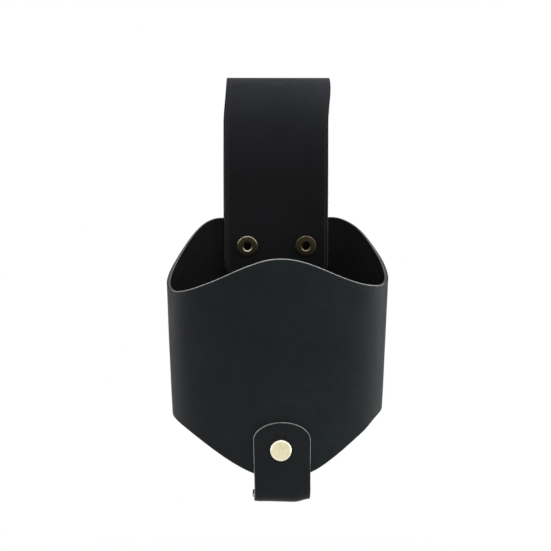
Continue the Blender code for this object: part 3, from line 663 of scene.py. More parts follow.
def running_lengths(columns):
    """Distance of each column from the strip's outer end."""
    run = [0.0]
    for before, after in zip(columns, columns[1:]):
        run.append(run[-1] + math.hypot(after[0] - before[0], after[1] - before[1]))
    return run


def round_shares(columns, run):
    """How far round each column lies: 0 at the front's crest, 1 at the back's middle."""
    crest = min(range(len(columns)), key=lambda i: columns[i][1])
    backs = [i for i, column in enumerate(columns) if column[1] == INNER_LAP_Y]
    outer = min((i for i in backs if i < crest), key=lambda i: abs(columns[i][0]))
    inner = min((i for i in backs if i > crest), key=lambda i: abs(columns[i][0]))
    shares = []
    for distance in run:
        back = inner if distance > run[crest] else outer
        share = (distance - run[crest]) / (run[back] - run[crest])
        shares.append(min(share, 2 - share))
    return shares


def section_points():
    """The wall's closed section, as (out, up, tuck): up the grain side and down the flesh side.

    Out is measured from the middle of the leather, up is a share of the wall's height, and tuck
    rounds the corners of the rim and the hem.
    """
    half = LEATHER / 2
    rows = [i / SLEEVE_ROWS for i in range(1, SLEEVE_ROWS)]
    corners = [(half - face, side) for side, face in softened(GRAIN_ROUND)]
    corners += [(side - half, face) for side, face in softened(FLESH_ROUND)]
    points = [(half, up, 0) for up in rows] + [(out, 1, -tuck) for out, tuck in corners]
    points += [(-half, up, 0) for up in rows[::-1]]
    return points + [(out, 0, tuck) for out, tuck in corners[::-1]]


def along_side(around, shares):
    """1 along a stretch of the sleeve's side, easing to 0 before and after it."""
    start, full, fading, end = shares
    return around.ease(start, full - start) * (end - around).ease(0.0, end - fading)


def sleeve_tree(values):
    """The sleeve's rule: a waved strip bent to an oval that narrows to its hem."""
    graph, given = new_tree("sleeve_rule", values)
    plan = graph.node("GeometryNodeMeshToCurve", sockets={"Mesh": given["Geometry"]})
    drawn = graph.node("GeometryNodeObjectInfo", sockets={"Object": given["Section"]},
                       output="Geometry")
    section = graph.node("GeometryNodeMeshToCurve", sockets={"Mesh": drawn})
    sockets = {"Curve": plan, "Profile Curve": section, "Fill Caps": True}
    wall = graph.node("GeometryNodeCurveToMesh", sockets=sockets)

    around, up, out = (graph.stored(name) for name in ("round_share", "up", "out"))
    crest, dip, arch = (given[f"{name} height"] for name in ("Crest", "Dip", "Arch"))
    dip_share, arch_share = given["Dip share"], given["Arch share"]
    rim = crest - (crest - dip) * around.ease(0.0, dip_share)
    rim = rim + (given["Back height"] - dip) * around.ease(dip_share,
                                                           given["Back share"] - dip_share)
    hem = around.ease(0.0, arch_share) + (1.0 - around).ease(0.0, 1.0 - arch_share) - 1.0
    hem = hem * arch
    left = graph.stored("plan_x") < 0.0
    sides = {-1: left * given["Settling"], 0: given["Settling"],
             1: (1.0 - left) * given["Settling"]}
    for side, rise, shares in RIM_SETTLING:
        rim = rim + along_side(around, shares) * sides[side] * rise
    for side, rise, shares in HEM_SETTLING:
        hem = hem + along_side(around, shares) * sides[side] * rise
    height = hem + (rim - hem) * up + graph.stored("tuck")
    fall = (dip - height) / (dip - arch)
    scale = 1.0 - fall * (1.0 - given["Hem width"] / given["Mouth width"])

    across = graph.stored("plan_x") * scale
    place = graph.vector(across, graph.stored("plan_y"), height)
    sockets = {"Vector": place, "W": given["Seed"], "Scale": 1.0 / given["Ripple length"],
               "Detail": 1.0}
    waves = graph.node("ShaderNodeTexNoise", {"noise_dimensions": "4D"}, sockets)
    loose = 1.0 - around.ease(*HELD_BACK)
    beside_tab = graph.maths("ABSOLUTE", across).ease(*FREE_BESIDE_TAB)
    free = loose * (1.0 - (1.0 - beside_tab) * (1.0 - height.ease(*FREE_ABOVE_TAB)))
    off = out * graph.stored("swell") + (waves - 0.5) * 2.0 * given["Ripple"] * free
    x = across + off * graph.stored("outward_x") + given["Lean"] * loose
    y = given["Lap line"] + (graph.stored("plan_y") - given["Lap line"]) * scale
    y = y + graph.stored("lap") + off * graph.stored("outward_y")
    place = graph.vector(x, y, height + given["Tip level"])

    spare = graph.maths("MINIMUM", rim - height, height - hem)
    spare = graph.maths("MINIMUM", spare, graph.stored("from_end"))
    outer = (out / given["Leather"] * 3.0).clamped()
    rim_dye = around.ease(*DYED_ROUND) * (DYED_RIM[0] + outer * DYED_RIM[1])
    marks = {"wear": 1.0 - (spare / given["Edge wear"]).clamped(),
             "dyed": graph.maths("MAXIMUM", rim_dye, (up < 0.5) * DYED_HEM)}
    for name, value in marks.items():
        wall = graph.node("GeometryNodeStoreNamedAttribute",
                          {"data_type": "FLOAT", "domain": "POINT"},
                          {"Geometry": wall, "Name": name, "Value": value})
    wall = graph.node("GeometryNodeSetPosition", sockets={"Geometry": wall, "Position": place})
    nearly_half = given["Leather"] * 0.4999
    cut = graph.maths("ABSOLUTE", out) < nearly_half
    cut = graph.maths("MAXIMUM", cut, graph.stored("swell") < 0.9999)
    wall = set_material(graph, wall, given["Grain"])
    wall = set_material(graph, wall, given["Flesh"], out < nearly_half * -1.0)
    return close_tree(graph, set_material(graph, wall, given["Cut edge"], cut))


def sleeve(grain_side, flesh, cut_edge):
    """The sleeve, made by its rule from its plan and its section."""
    columns = plan_columns()
    run = running_lengths(columns)
    from_ends = [min(distance, run[-1] - distance) for distance in run]
    labels = ("plan_x", "plan_y", "outward_x", "outward_y", "lap", "swell", "round_share",
              "from_end")
    rows = [(*column, *others) for column, *others in zip(columns, round_shares(columns, run),
                                                          from_ends)]
    plan = polyline("sleeve_visual", [(x, y, 0) for x, y, *_ in columns], False, labels, rows)
    points = section_points()
    section = polyline("section", [(out, up * LEATHER + tuck, 0) for out, up, tuck in points],
                       True, ("out", "up", "tuck"), points)
    values = {"Section": section, **SLEEVE_RULE, "Grain": grain_side, "Flesh": flesh,
              "Cut edge": cut_edge}
    piece = grow(plan, sleeve_tree(values), values)
    bpy.data.objects.remove(section)
    return tidy_mesh(piece)


def punch(piece, holes):
    """Cut round holes through a piece: each is a middle, a direction and a diameter."""
    for middle, direction, diameter in holes:
        bm = bmesh.new()
        turn = direction.to_track_quat("Z", "Y").to_matrix().to_4x4()
        bmesh.ops.create_cone(bm, cap_ends=True, segments=HOLE_STEPS, radius1=diameter / 2,
                              radius2=diameter / 2, depth=HOLE_LENGTH,
                              matrix=Matrix.Translation(middle) @ turn)
        cut = piece.modifiers.new("hole", "BOOLEAN")
        cut.object = link_mesh("hole", bm)
        cutter = cut.object
        keep_result(piece, cut)
        bpy.data.objects.remove(cutter)
    piece.data.set_sharp_from_angle(angle=SMOOTH_ANGLE)
    return piece


def outline_insets(outline):
    """The inward direction at each corner of a closed outline that runs anticlockwise."""
    insets = []
    for i, corner in enumerate(outline):
        before = (corner - outline[i - 1]).normalized()
        after = (outline[(i + 1) % len(outline)] - corner).normalized()
        inward = Vector((-before.y - after.y, before.x + after.x)).normalized()
        insets.append(inward / max(inward.dot(Vector((-before.y, before.x))), 0.5))
    return insets


def blank(outline, grain_round=GRAIN_ROUND):
    """A flat piece cut from leather, grain side up, with its two cut corners softened.

    The outline is in (across, along). Faces are marked 0 grain, 1 flesh, 2 cut edge.
    """
    outline = [Vector(point) for point in outline]
    half = LEATHER / 2
    rings = [(side, half - face) for side, face in softened(grain_round)]
    rings += [(face, side - half) for side, face in softened(FLESH_ROUND)]
    insets = outline_insets(outline)
    bm = bmesh.new()
    loops = [[bm.verts.new((*(corner + inset * inward), out))
              for corner, inward in zip(outline, insets)] for inset, out in rings]
    bm.faces.new(loops[0]).material_index = 0
    bm.faces.new(loops[-1][::-1]).material_index = 1
    for upper, lower in zip(loops, loops[1:]):
        for i in range(len(outline)):
            bm.faces.new((upper[i - 1], lower[i - 1], lower[i], upper[i])).material_index = 2
    return bm


def bisect(bm, direction, place, **options):
    """Divide a blank along a straight line."""
    normal = Vector(direction)
    return bmesh.ops.bisect_plane(bm, geom=bm.verts[:] + bm.edges[:] + bm.faces[:], dist=SMALL,
                                  plane_co=normal * place, plane_no=normal, **options)


def score(bm, direction, low, high, spacing):
    """Divide a blank between two places, so that it can be bent there."""
    count = max(round((high - low) / spacing), 1)
    for i in range(1, count):
        bisect(bm, direction, between(low, high, i / count))


def mark_wear(bm, outline):
    """Store how near each vertex lies to the outline, as wear from 0 to 1."""
    layer = bm.verts.layers.float.new("wear")
    sides = [(Vector(start), Vector(end) - Vector(start))
             for start, end in zip(outline, outline[1:] + outline[:1])]
    for vert in bm.verts:
        nearest = LAP_WIDTH
        for start, side in sides:
            share = min(max((vert.co.xy - start).dot(side) / side.length_squared, 0), 1)
            nearest = min(nearest, (start + side * share - vert.co.xy).length)
        vert[layer] = max(1 - nearest / EDGE_WEAR, 0)


def follow(start, heading, stretches, along):
    """Place and heading at a distance along a line whose stretches are (length, turn)."""
    y, z = start
    for length, turn in stretches:
        step = min(along, length)
        half_turn = turn * step / length / 2
        chord = step * math.sin(half_turn) / half_turn if half_turn else step
        heading += half_turn
        y += chord * math.cos(heading)
        z += chord * math.sin(heading)
        heading += half_turn
        along -= step
    return Vector((y, z)), heading


def leg_end(along, side):
    """A rounded end of a leg of the loop; side is -1 at the front leg's end, 1 at the rear's."""
    inset = LOOP_HALF_WIDTH - LOOP_CORNER
    quarter = [math.pi / 2 * i / CORNER_STEPS for i in range(CORNER_STEPS + 1)]
    points = [(corner * (inset + LOOP_CORNER * math.cos(angle)),
               along + side * LOOP_CORNER * (math.sin(angle) - 1))
              for corner, angles in ((1, quarter), (-1, quarter[::-1])) for angle in angles]
    return points if side == 1 else points[::-1]


def loop_stretches():
    """The loop's line: a leg, the bend where it splays, its slope, half the crown, and back."""
    across = LEG_Y + SPLAY_RADIUS
    rise = LEATHER / 2 - LOOP_CROWN_RADIUS - SPLAY_Z
    turn = math.acos((LOOP_CROWN_RADIUS + SPLAY_RADIUS) / math.hypot(across, rise))
    splay = math.atan2(rise, across) - turn
    half = [(SPLAY_Z - LEG_END_Z, 0), (SPLAY_RADIUS * splay, splay),
            (rise * math.cos(splay) - across * math.sin(splay), 0),
            (LOOP_CROWN_RADIUS * (math.pi / 2 + splay), -math.pi / 2 - splay)]
    return half + half[::-1]


def loop_point(stretches, x, along, out):
    """A point of the loop strap, bent round the belt, with a slight wave in its slopes."""
    line, heading = follow((-LEG_Y, LEG_END_Z), math.pi / 2, stretches, along)
    held = ease(line.y, SPLAY_Z, LEG_WAVE_START) * ease(-line.y, 0, LEG_WAVE_START)
    wave = noise.noise(Vector((x, along, 0)) / LEG_WAVE_LENGTH)
    line += Vector((-math.sin(heading), math.cos(heading))) * (out + LEG_WAVE * wave * held)
    drawn = FOLD_DRAW * ease(line.y, -FOLD_DRAW_LENGTH, FOLD_DRAW_LENGTH) * x / LOOP_HALF_WIDTH
    skew = LOOP_SKEW * ease(line.y, -LOOP_SKEW_LENGTH, LOOP_SKEW_LENGTH)
    return Vector((x + skew - drawn, line.x, line.y))


def loop_strap(name, rear, finishes):
    """One end of the loop strap, cut at the hinge line: the front leg and fold, or the flap."""
    stretches = loop_stretches()
    whole = sum(length for length, turn in stretches)
    crown = stretches[3][0]
    outline = leg_end(whole, 1) + leg_end(0, -1)
    bm = blank(outline)
    fold, fold_end = whole / 2 - crown, whole / 2 + crown
    score(bm, (0, 1, 0), 0, fold, BLANK_SPACING)
    score(bm, (0, 1, 0), fold, fold_end, FOLD_SPACING)
    score(bm, (0, 1, 0), fold_end, whole, BLANK_SPACING)
    score(bm, (1, 0, 0), -LOOP_HALF_WIDTH, LOOP_HALF_WIDTH, BLANK_SPACING)
    mark_wear(bm, outline)
    cut = bisect(bm, (0, 1, 0), fold_end + HINGE_GAP / 2, clear_outer=not rear, clear_inner=rear)
    rim = [item for item in cut["geom_cut"] if isinstance(item, bmesh.types.BMEdge)]
    bmesh.ops.edgenet_fill(bm, edges=rim, mat_nr=2)
    for vert in bm.verts:
        vert.co = loop_point(stretches, *vert.co)
    return tidy_mesh(link_mesh(name, bm, finishes))


def narrowing(height):
    """Scale of the sleeve's plan at a height: 1 at the side dips, smaller below them."""
    slope = (1 - HEM_WIDTH / MOUTH_WIDTH) / (SIDE_DIP_HEIGHT - ARCH_HEIGHT)
    return 1 - (SIDE_DIP_HEIGHT - height) * slope


def front_y(x, height):
    """Middle of the front wall's leather at a place across the front."""
    scale = narrowing(height)
    across = min(abs(x) / (MOUTH_WIDTH / 2 * scale), 1)
    return INNER_LAP_Y - scale * (BACK_BULGE + FRONT_BULGE * math.sqrt(1 - across ** 2))


def front_lean():
    """Tilt of the front wall, which leans outwards towards the rim."""
    rise = SIDE_DIP_HEIGHT - ARCH_HEIGHT
    return math.atan((front_y(0, ARCH_HEIGHT) - front_y(0, SIDE_DIP_HEIGHT)) / rise)


def strap_stretches():
    """The strap's line in (y, height): where its front tab ends, its heading, its stretches."""
    lean = front_lean()
    bend = STRAP_BEND + LEATHER / 2
    floor = strap_low.z - TIP_Z + LEATHER / 2
    rise = strap_high.z - TIP_Z - floor
    turn = math.pi / 2 - lean
    cut_back = bend * math.tan(turn / 2)
    corner_y = front_y(0, floor) - (LAP_GAP + LEATHER) / math.cos(lean)
    run = SLEEVE_BACK_Y + LAP_GAP + LEATHER / 2 - corner_y - cut_back - bend
    stretches = [(rise / math.cos(lean) - cut_back, 0), (bend * turn, turn), (run, 0),
                 (bend * math.pi / 2, math.pi / 2), (rise - bend, 0)]
    return (corner_y - rise * math.tan(lean), floor + rise), -turn, stretches


def strap_point(line, x, along, out):
    """A point of the strap, bent round the drink's seat, and its share of dye."""
    start, heading, stretches = line
    front_leg, front_bend, run, _, rear_leg = (length for length, turn in stretches)
    length = sum(length for length, turn in stretches)
    half = STRAP_HALF_WIDTH
    point, heading = follow(start, heading, stretches, along)
    point += Vector((math.sin(heading), -math.cos(heading))) * out
    front = min(along / front_leg, 1)
    free = min(max((along - front_leg) / front_bend, 0), 1)
    rear = min(max((along - front_leg - front_bend) / run, 0), 1)
    hollow = front_y(x, max(point.y, 0)) - front_y(0, max(point.y, 0))
    leftwards = max(-x / half, 0)
    climb = along - (length - rear_leg)
    off_flare = max(abs(climb + FLARE_PLACE) - FLARE_HALF, 0)
    beside = x * TAB_STRETCH + leftwards * TAB_NARROWING * front * (1 - rear)
    beside += between(TAB_SHIFT, REAR_LEG_SHIFT, rear)
    beside -= (REAR_LEG_SHIFT - REAR_TAB_SHIFT) * ease(climb, *REAR_TAB_PLACE)
    beside -= REAR_FLARE * leftwards * ease(FLARE_REACH - off_flare, 0, FLARE_REACH)
    wave = noise.noise(Vector((x, point.x, 0)) / STRAP_WAVE_LENGTH) * STRAP_WAVE * front
    loose = wave * (1 - rear if along < length / 2 else (1 - rear) ** 2) + TAB_RISE * (1 - front)
    for corner, rise in CORNER_CURL:
        curl = ease(x / half, corner, math.copysign(1, corner) - corner)
        loose += rise * curl * front ** 4 * (1 - rear)
    dyed = STRAP_DYED * ease(front, *STRAP_DYED_DOWN) * ease(x / half, *STRAP_DYED_ACROSS)
    return (beside, point.x + hollow * (1 - free), point.y + loose + TIP_Z), dyed


def bottom_strap(name, finishes):
    """The strap that the drink stands on, bent up the front and the back of the sleeve."""
    line = strap_stretches()
    length = sum(length for length, turn in line[2])
    half = STRAP_HALF_WIDTH
    turns = [math.pi * i / TAB_STEPS for i in range(TAB_STEPS + 1)]
    outline = [(-half * math.cos(a), TAB_ROUND - TAB_ROUND * math.sin(a)) for a in turns]
    outline += [(half * math.cos(a), length - TAB_ROUND + TAB_ROUND * math.sin(a)) for a in turns]
    bm = blank(outline, TAB_ROUNDING)
    score(bm, (1, 0, 0), -half, half, BLANK_SPACING)
    start = 0
    for stretch, turn in line[2]:
        end = start + stretch
        score(bm, (0, 1, 0), start, end, FOLD_SPACING if turn else BLANK_SPACING)
        bisect(bm, (0, 1, 0), end)
        start = end
    mark_wear(bm, outline)
    dyed = bm.verts.layers.float.new("dyed")
    for vert in bm.verts:
        vert.co, vert[dyed] = strap_point(line, *vert.co)
    return tidy_mesh(link_mesh(name, bm, finishes))


def arc(radius, depth, reach, start, end):
    """Points of a profile's round stretch: a middle, its reach and two angles in degrees.

    At 0 degrees a point lies outwards of the middle, and at 90 behind it.
    """
    turns = [math.radians(between(start, end, i / ARC_STEPS)) for i in range(ARC_STEPS + 1)]
    return [(radius + reach * math.cos(a), depth + reach * math.sin(a)) for a in turns]


def turned(node, profile, finish, location, worn_and_lit, lean=0.0, rubbed_and_lit=1.0):
    """Turn a closed profile of (radius, depth) points about a line along Y, for a frame node.

    Depth runs backwards from the location. worn_and_lit gives a point its share of the piece's
    scuffing and painted highlight, from its radius, its depth and how far up it lies, from -1 to
    1.
    """
    bm = bmesh.new()
    layer = bm.verts.layers.float.new("wear")
    verts = [bm.verts.new((radius, depth, 0)) for radius, depth in profile]
    edges = [bm.edges.new(pair) for pair in zip(verts, verts[1:])]
    if profile[0][0] or profile[-1][0]:
        edges.append(bm.edges.new((verts[-1], verts[0])))
    bmesh.ops.spin(bm, geom=verts + edges, cent=(0, 0, 0), axis=(0, 1, 0), angle=math.tau,
                   steps=TURN_STEPS, use_merge=True)
    bmesh.ops.remove_doubles(bm, verts=bm.verts, dist=SMALL)
    for vert in bm.verts:
        radius = math.hypot(vert.co.x, vert.co.z)
        vert[layer] = worn_and_lit(radius, vert.co.y, vert.co.z / max(radius, SMALL)) * rubbed_and_lit
    matrix = Matrix.Translation(location) @ Matrix.Rotation(lean, 4, "X")
    bmesh.ops.transform(bm, matrix=matrix, verts=bm.verts)
    return tidy_mesh(link_mesh(node + "_visual", bm, (finish,)))


def place_of(node):
    """Middle, radius across and y range of a round node that is turned about a line along Y."""
    low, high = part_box(node)
    return (low + high) / 2, (high.x - low.x) / 2, low.y, high.y


# A snap's pieces: from a radius, a front and a back, each gives a profile, a seat and how its
# points are brightened: scuffing, and on the post painted highlight

def snap_post(rim, front, back):
    """Hollow eyelet: a rolled flange in the pocket, its funnel, its barrel and curled end."""
    seat = front + POST_DOME
    end = back - seat
    bore, barrel, curl = POST_BORE / 2, POST_BARREL / 2, POST_CURL / 2
    curl_start = end - POST_CURL_HEIGHT
    profile = [(bore, end)]
    profile += arc(bore + POST_FUNNEL, POST_FUNNEL - POST_DOME, POST_FUNNEL, 180, 270)
    profile += arc(rim - POST_ROLL, POST_FALL + POST_ROLL - POST_DOME, POST_ROLL, -90, 0)
    profile += [(rim, 0), (barrel, 0), (barrel, curl_start), (curl, curl_start), (curl, end)]

    # Painted highlight: only the upper part of the roll and the lower lip of the funnel are
    # brightened, where light from above falls on them
    def worn_and_lit(radius, depth, up):
        on_roll = ease((radius - rim) / POST_ROLL / 1.5 + 1) * ease(up, -0.3, 1.2)
        on_mouth = ease(1 - abs(radius - bore - POST_FUNNEL * 0.5) / POST_FUNNEL * 1.4)
        return max(on_roll, on_mouth * ease(0.2 - up)) if depth < 0 else 0

    return profile, seat, worn_and_lit


def snap_stud(rim, front, back):
    """Stud on the back of the sleeve, with a rounded bulb over its neck."""
    bore, neck, bulb = POST_BARREL / 2 + HOLE_GAP, STUD_NECK / 2, STUD_BULB / 2
    height = back - front
    rise = (height - STUD_NECK_HEIGHT) / 2
    edge = STUD_FLANGE / 2
    profile = [(bore, 0), (rim, 0), *arc(rim - edge, edge, edge, 0, 90), (neck, STUD_FLANGE),
               (neck, STUD_NECK_HEIGHT - rise), *arc(bulb - rise, height - rise, rise, -60, 90),
               (bore, height)]
    return profile, front, lambda radius, depth, up: ease(radius, bulb - rise, rise)


def snap_socket(rim, front, back):
    """Socket on the flap, with a groove for its ring spring."""
    depth = back - front
    mouth, hole = STUD_BULB / 2 + BULB_CLEARANCE, CAP_SHANK / 2 + HOLE_GAP
    floor = depth - SOCKET_FLOOR
    reach = SPRING_WIRE / 2 + GROOVE_GAP
    groove = mouth + SPRING_WIRE / 2 + reach
    near, far = (SOCKET_ROUND + SPRING_WIRE / 2 + side * reach for side in (-1, 1))
    middle = rim - SOCKET_ROUND
    profile = [(mouth, 0), *arc(middle, SOCKET_ROUND, SOCKET_ROUND, -90, 0),
               *arc(middle, depth - SOCKET_ROUND, SOCKET_ROUND, 0, 90), (hole, depth),
               (hole, floor), (mouth, floor), (mouth, far), (groove, far), (groove, near),
               (mouth, near)]
    return profile, front, lambda radius, depth, up: ease(radius, middle, SOCKET_ROUND)


def snap_cap(rim, front, back):
    """Domed cap behind the flap, with its rolled rim and its shank flared in the socket."""
    seat = back - CAP_HEIGHT
    tip = seat - front
    shank, flare = CAP_SHANK / 2, CAP_FLARE / 2
    rise = CAP_HEIGHT - CAP_ROLL
    crown = [math.radians(90 * i / DOME_STEPS) for i in range(DOME_STEPS)]
    profile = [((rim - CAP_ROLL * 0.3) * math.sin(a), CAP_ROLL + rise * math.cos(a))
               for a in crown]
    profile += arc(rim - CAP_ROLL, CAP_ROLL, CAP_ROLL, 30, -90)
    profile += [(shank, 0), (shank, CAP_FLARE_HEIGHT - tip), (flare, CAP_FLARE_HEIGHT - tip),
                (flare, -tip), (0, -tip)]

    def worn_and_lit(radius, depth, up):
        return between(CAP_WEAR, 1, ease(radius, rim * 0.9, rim / 10)) if depth > 0 else 0

    return profile, seat, worn_and_lit


SNAP_PARTS = {"post": (snap_post, "holder"), "stud": (snap_stud, "holder"),
              "socket": (snap_socket, "loop_flap"), "cap": (snap_cap, "loop_flap")}


def snap(side, brass, steel):
    """A snap of the belt loop: its four turned pieces and its ring spring."""
    for part, (shape, body) in SNAP_PARTS.items():
        node = f"snap_{part}_{side}"
        middle, *sizes = place_of(node)
        profile, seat, worn_and_lit = shape(*sizes)
        # On the posts this scales their painted highlight
        rubbed_and_lit = POST_WEAR_AND_HIGHLIGHT[side] if part == "post" else 1.0
        piece = turned(node, profile, brass, (middle.x, seat, middle.z), worn_and_lit, rubbed_and_lit=rubbed_and_lit)
        dress(piece, body, node)
    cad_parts[f"snap_spring_{side}"].data.materials[0] = steel


def rivet_seats():
    """For the front and the rear rivet: the side it faces, its cap's seat, lean and grip."""
    middle = place_of("rear_rivet_cap")[0]
    height = middle.z - TIP_Z
    lean = front_lean()
    outward = Vector((0, -math.cos(lean), -math.sin(lean)))
    wall = Vector((0, front_y(0, height), middle.z))
    bulge, half = FRONT_BULGE * narrowing(height), MOUTH_WIDTH / 2 * narrowing(height)
    hollow = (RIVET_DIAMETER / 2) ** 2 * bulge / (2 * half ** 2)
    front_seat = wall + outward * (LEATHER * 1.5 + LAP_GAP * 2) + Vector(RIVET_SHIFT)
    rear_seat = Vector((0, SLEEVE_BACK_Y + LEATHER + LAP_GAP * 2, middle.z))
    return {"front": (-1, front_seat, lean, LEATHER * 2 + LAP_GAP * 3 + hollow),
            "rear": (1, rear_seat, 0.0, LEATHER * 3 + LAP_GAP * 4)}


def rivet(end, gold, brass):
    """A double-cap rivet: the plated cap outside, the aged back cap in the pocket."""
    side, seat, lean, grip = rivet_seats()[end]
    rim, shank, bore = RIVET_DIAMETER / 2, RIVET_SHANK / 2, RIVET_BORE / 2
    top = RIVET_DISH - RIVET_THICKNESS
    dished = rim - RIVET_ROLL - RIVET_DISH * 4
    inside = grip - HOLE_GAP
    cap = [(0, top), (dished, top),
           *arc(rim - RIVET_ROLL, RIVET_ROLL - RIVET_THICKNESS, RIVET_ROLL, -90, 0), (rim, 0),
           (shank, 0), (shank, inside), (bore, inside), (bore, 0), (0, 0)]
    pin, back = bore - HOLE_GAP, grip + RIVET_BACK_THICKNESS
    post = [(0, HOLE_GAP), (pin, HOLE_GAP), (pin, grip), (rim, grip),
            *arc(rim - RIVET_ROLL, back - RIVET_ROLL, RIVET_ROLL, 0, 90), (0, back)]

    def cap_wear(radius, depth, up):
        return ease(radius, dished, RIVET_ROLL / 2) if side * depth > 0 else 0

    def post_wear(radius, depth, up):
        return ease(radius, rim - RIVET_ROLL, RIVET_ROLL)

    for part, profile, finish, slot, worn_and_lit in (
            ("cap", cap, gold, "pale_gold", cap_wear),
            ("post", post, brass, "antique_brass", post_wear)):
        node = f"{end}_rivet_{part}"
        profile = [(radius, -side * depth) for radius, depth in profile]
        dress(turned(node, profile, finish, seat, worn_and_lit, lean), "holder", node)


def fibre_tree(values):
    """Loose fibres that stand on the cut edges: thin cones at random places and tilts."""
    graph, given = new_tree("edge_fibres", values)
    density = given["Count per square metre"] * graph.stored("fuzz")
    points = graph.node("GeometryNodeDistributePointsOnFaces", sockets={
        "Mesh": given["Geometry"], "Density": density, "Seed": given["Seed"]})
    fibre = graph.node("GeometryNodeMeshCone", sockets={
        "Vertices": 3, "Radius Top": given["Thickness"] * 0.15,
        "Radius Bottom": given["Thickness"] * 0.5, "Depth": given["Length"]})
    size = graph.node("FunctionNodeRandomValue", {"data_type": "FLOAT"},
                      {2: 0.25, 3: 1.0, "Seed": given["Seed"]}, 1)
    stood = graph.node("GeometryNodeInstanceOnPoints", sockets={
        "Points": points, "Instance": fibre, "Rotation": points.other("Rotation"), "Scale": size})
    low = graph.vector(given["Tilt"] * -1.0, given["Tilt"] * -1.0, -math.pi)
    high = graph.vector(given["Tilt"], given["Tilt"], math.pi)
    tilt = graph.node("FunctionNodeRandomValue", {"data_type": "FLOAT_VECTOR"},
                      {0: low, 1: high, "Seed": given["Seed"]})
    tilted = graph.node("GeometryNodeRotateInstances",
                        sockets={"Instances": stood, "Rotation": tilt})
    return close_tree(graph, set_material(graph, tilted, given["Fibre"]))


def fuzz(place):
    """How fibrous a cut edge is at a place: the loop's right edge most of all."""
    low, high = FUZZY_EDGE
    on_fuzzy_edge = place.x > LOOP_HALF_WIDTH * 0.9 and low < place.z < high
    return 1.0 if on_fuzzy_edge else PLAIN_FUZZ


def edge_fibres(name, pieces, tree, values):
    """The fibres of one body's cut edges, as one mesh."""
    bm = bmesh.new()
    for piece in pieces:
        bm.from_mesh(piece.data)
    bmesh.ops.delete(bm, geom=[face for face in bm.faces if face.material_index != 2],
                     context="FACES")
    layer = bm.verts.layers.float.new("fuzz")
    for vert in bm.verts:
        vert[layer] = fuzz(vert.co)
    return grow(link_mesh(name, bm), tree, values)


def seen_from_outside(graph):
    """1 for camera, glossy and transmission rays."""
    path = graph.node("ShaderNodeLightPath", output="Is Camera Ray")
    seen = graph.maths("MAXIMUM", path, path.other("Is Glossy Ray"))
    return graph.maths("MAXIMUM", seen, path.other("Is Transmission Ray"))


def studio_world():
    """White behind everything, and a plain soft light from all round."""
    world = bpy.data.worlds.new("studio")
    world.use_nodes = True
    world.node_tree.nodes.clear()
    graph = Graph(world.node_tree)
    lit = graph.node("ShaderNodeBackground", sockets={"Color": grey(1.0), "Strength": WORLD_LIGHT})
    white = graph.node("ShaderNodeBackground", sockets={"Color": grey(1.0), "Strength": 1.0})
    mixed = graph.node("ShaderNodeMixShader", sockets={0: seen_from_outside(graph), 1: lit,
                                                       2: white})
    graph.node("ShaderNodeOutputWorld", sockets={"Surface": mixed})
    bpy.context.scene.world = world


def studio_floor():
    """A pale floor well below the hanging holder. It keeps the shadow near the middle."""
    bm = bmesh.new()
    bmesh.ops.create_grid(bm, x_segments=8, y_segments=8, size=FLOOR_HALF,
                          matrix=Matrix.Translation((0, 0, FLOOR_Z)))
    material = bpy.data.materials.new("pale_floor")
    material.use_nodes = True
    material.node_tree.nodes.clear()
    graph = Graph(material.node_tree)
    place = graph.node("ShaderNodeTexCoord", output="Object")
    away = graph.node("ShaderNodeVectorMath", {"operation": "LENGTH"}, {0: place}, "Value")
    far = away.ramp(FLOOR_SHADOW_REACH, FLOOR_SHADOW_REACH * 2) * 0.4 + 0.6
    lit = graph.node("ShaderNodeBsdfDiffuse", sockets={"Color": grey(0.9)})
    white = graph.node("ShaderNodeEmission", sockets={"Color": grey(1.0), "Strength": 1.0})
    mixed = graph.node("ShaderNodeMixShader",
                       sockets={0: seen_from_outside(graph) * far, 1: lit, 2: white})
    graph.node("ShaderNodeOutputMaterial", sockets={"Surface": mixed})
    link_mesh("floor", bm, (material,))


def lamp(name, place, size, power):
    """A soft square lamp that faces the holder."""
    light = bpy.data.lights.new(name, "AREA")
    light.size = size
    light.energy = power
    stand = link(name, light)
    stand.location = place
    stand.rotation_euler = (VIEW_CENTRE - Vector(place)).to_track_quat("-Z", "Y").to_euler()


def camera():
    """The camera, at the photograph's angle and distance."""
    data = bpy.data.cameras.new("camera")
    data.lens = LENS
    data.sensor_width = SENSOR
    data.clip_start = 0.05
    seen = link("camera", data)
    back = Vector((math.sin(VIEW_AZIMUTH) * math.cos(VIEW_ELEVATION),
                   -math.cos(VIEW_AZIMUTH) * math.cos(VIEW_ELEVATION), math.sin(VIEW_ELEVATION)))
    seen.location = VIEW_CENTRE + back * VIEW_DISTANCE
    seen.rotation_euler = (-back).to_track_quat("-Z", "Y").to_euler()
    bpy.context.scene.camera = seen


def dress(piece, body, node):
    """Let a piece ride on its body in the place of a frame node."""
    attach(piece, body)
    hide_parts(node)


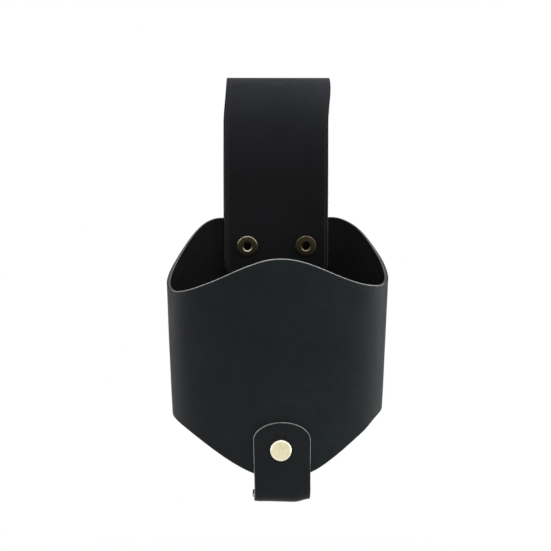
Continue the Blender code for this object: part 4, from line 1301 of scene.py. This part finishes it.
def build():
    bpy.context.scene.view_settings.view_transform = "Standard"
    camera()
    flesh = leather_flesh()
    bare_edge = leather_cut_edge("leather_cut_edge", 1.0)
    dyed_edge = leather_cut_edge("leather_dyed_edge", DYED_EDGE)
    sleeve_grain = leather_grain("leather_grain_sleeve", SLEEVE_COLOUR, SLEEVE_SHEEN, SLEEVE_TINTS_AND_LIGHT)
    strap_grain = leather_grain("leather_grain_strap", STRAP_COLOUR, STRAP_SHEEN)
    brass, gold, steel = antique_brass(), pale_gold(), spring_steel()

    along_y = Vector((0, 1, 0))
    snap_x = [place_of(f"snap_post_{side}")[0].x for side in ("left", "right")]
    post_holes = [(Vector((x, INNER_LAP_Y, snap_z)), along_y, POST_BARREL + HOLE_GAP * 2)
                  for x in snap_x]
    cap_holes = [(Vector((x, LEG_Y, snap_z)), along_y, CAP_SHANK + HOLE_GAP * 2) for x in snap_x]
    strap_holes = []
    for side, seat, lean, grip in rivet_seats().values():
        through = Vector((0, math.cos(lean), math.sin(lean)))
        strap_holes.append((seat - through * side * grip / 2, through,
                            RIVET_SHANK + HOLE_GAP * 2))

    body = punch(sleeve(sleeve_grain, flesh, bare_edge), post_holes + strap_holes)
    finishes = (loop_grain_with_painted_light(), flesh, dyed_edge)
    front = punch(loop_strap("belt_loop_front_visual", False, finishes), post_holes)
    flap = punch(loop_strap("belt_loop_flap_visual", True, finishes), cap_holes)
    finishes = (strap_grain, flesh, leather_cut_edge("leather_strap_edge", STRAP_EDGE))
    strap = punch(bottom_strap("bottom_strap_visual", finishes), strap_holes)

    values = {**FIBRES, "Fibre": bare_edge}
    fibres = fibre_tree(values)
    holder_fibres = edge_fibres("edge_fibres_holder", (body, front, strap), fibres, values)
    flap_fibres = edge_fibres("edge_fibres_flap", (flap,), fibres, values)

    dress(body, "holder", "sleeve")
    dress(front, "holder", "belt_loop_front")
    dress(strap, "holder", "bottom_strap")
    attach(holder_fibres, "holder")
    for side in ("left", "right"):
        snap(side, brass, steel)
    for end in ("front", "rear"):
        rivet(end, gold, brass)

    for piece in (flap, flap_fibres):
        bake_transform(piece)
    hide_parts("belt_loop_flap")

    studio_world()
    studio_floor()
    for name, place, size, power in LAMPS:
        lamp(name, place, size, power)


build()
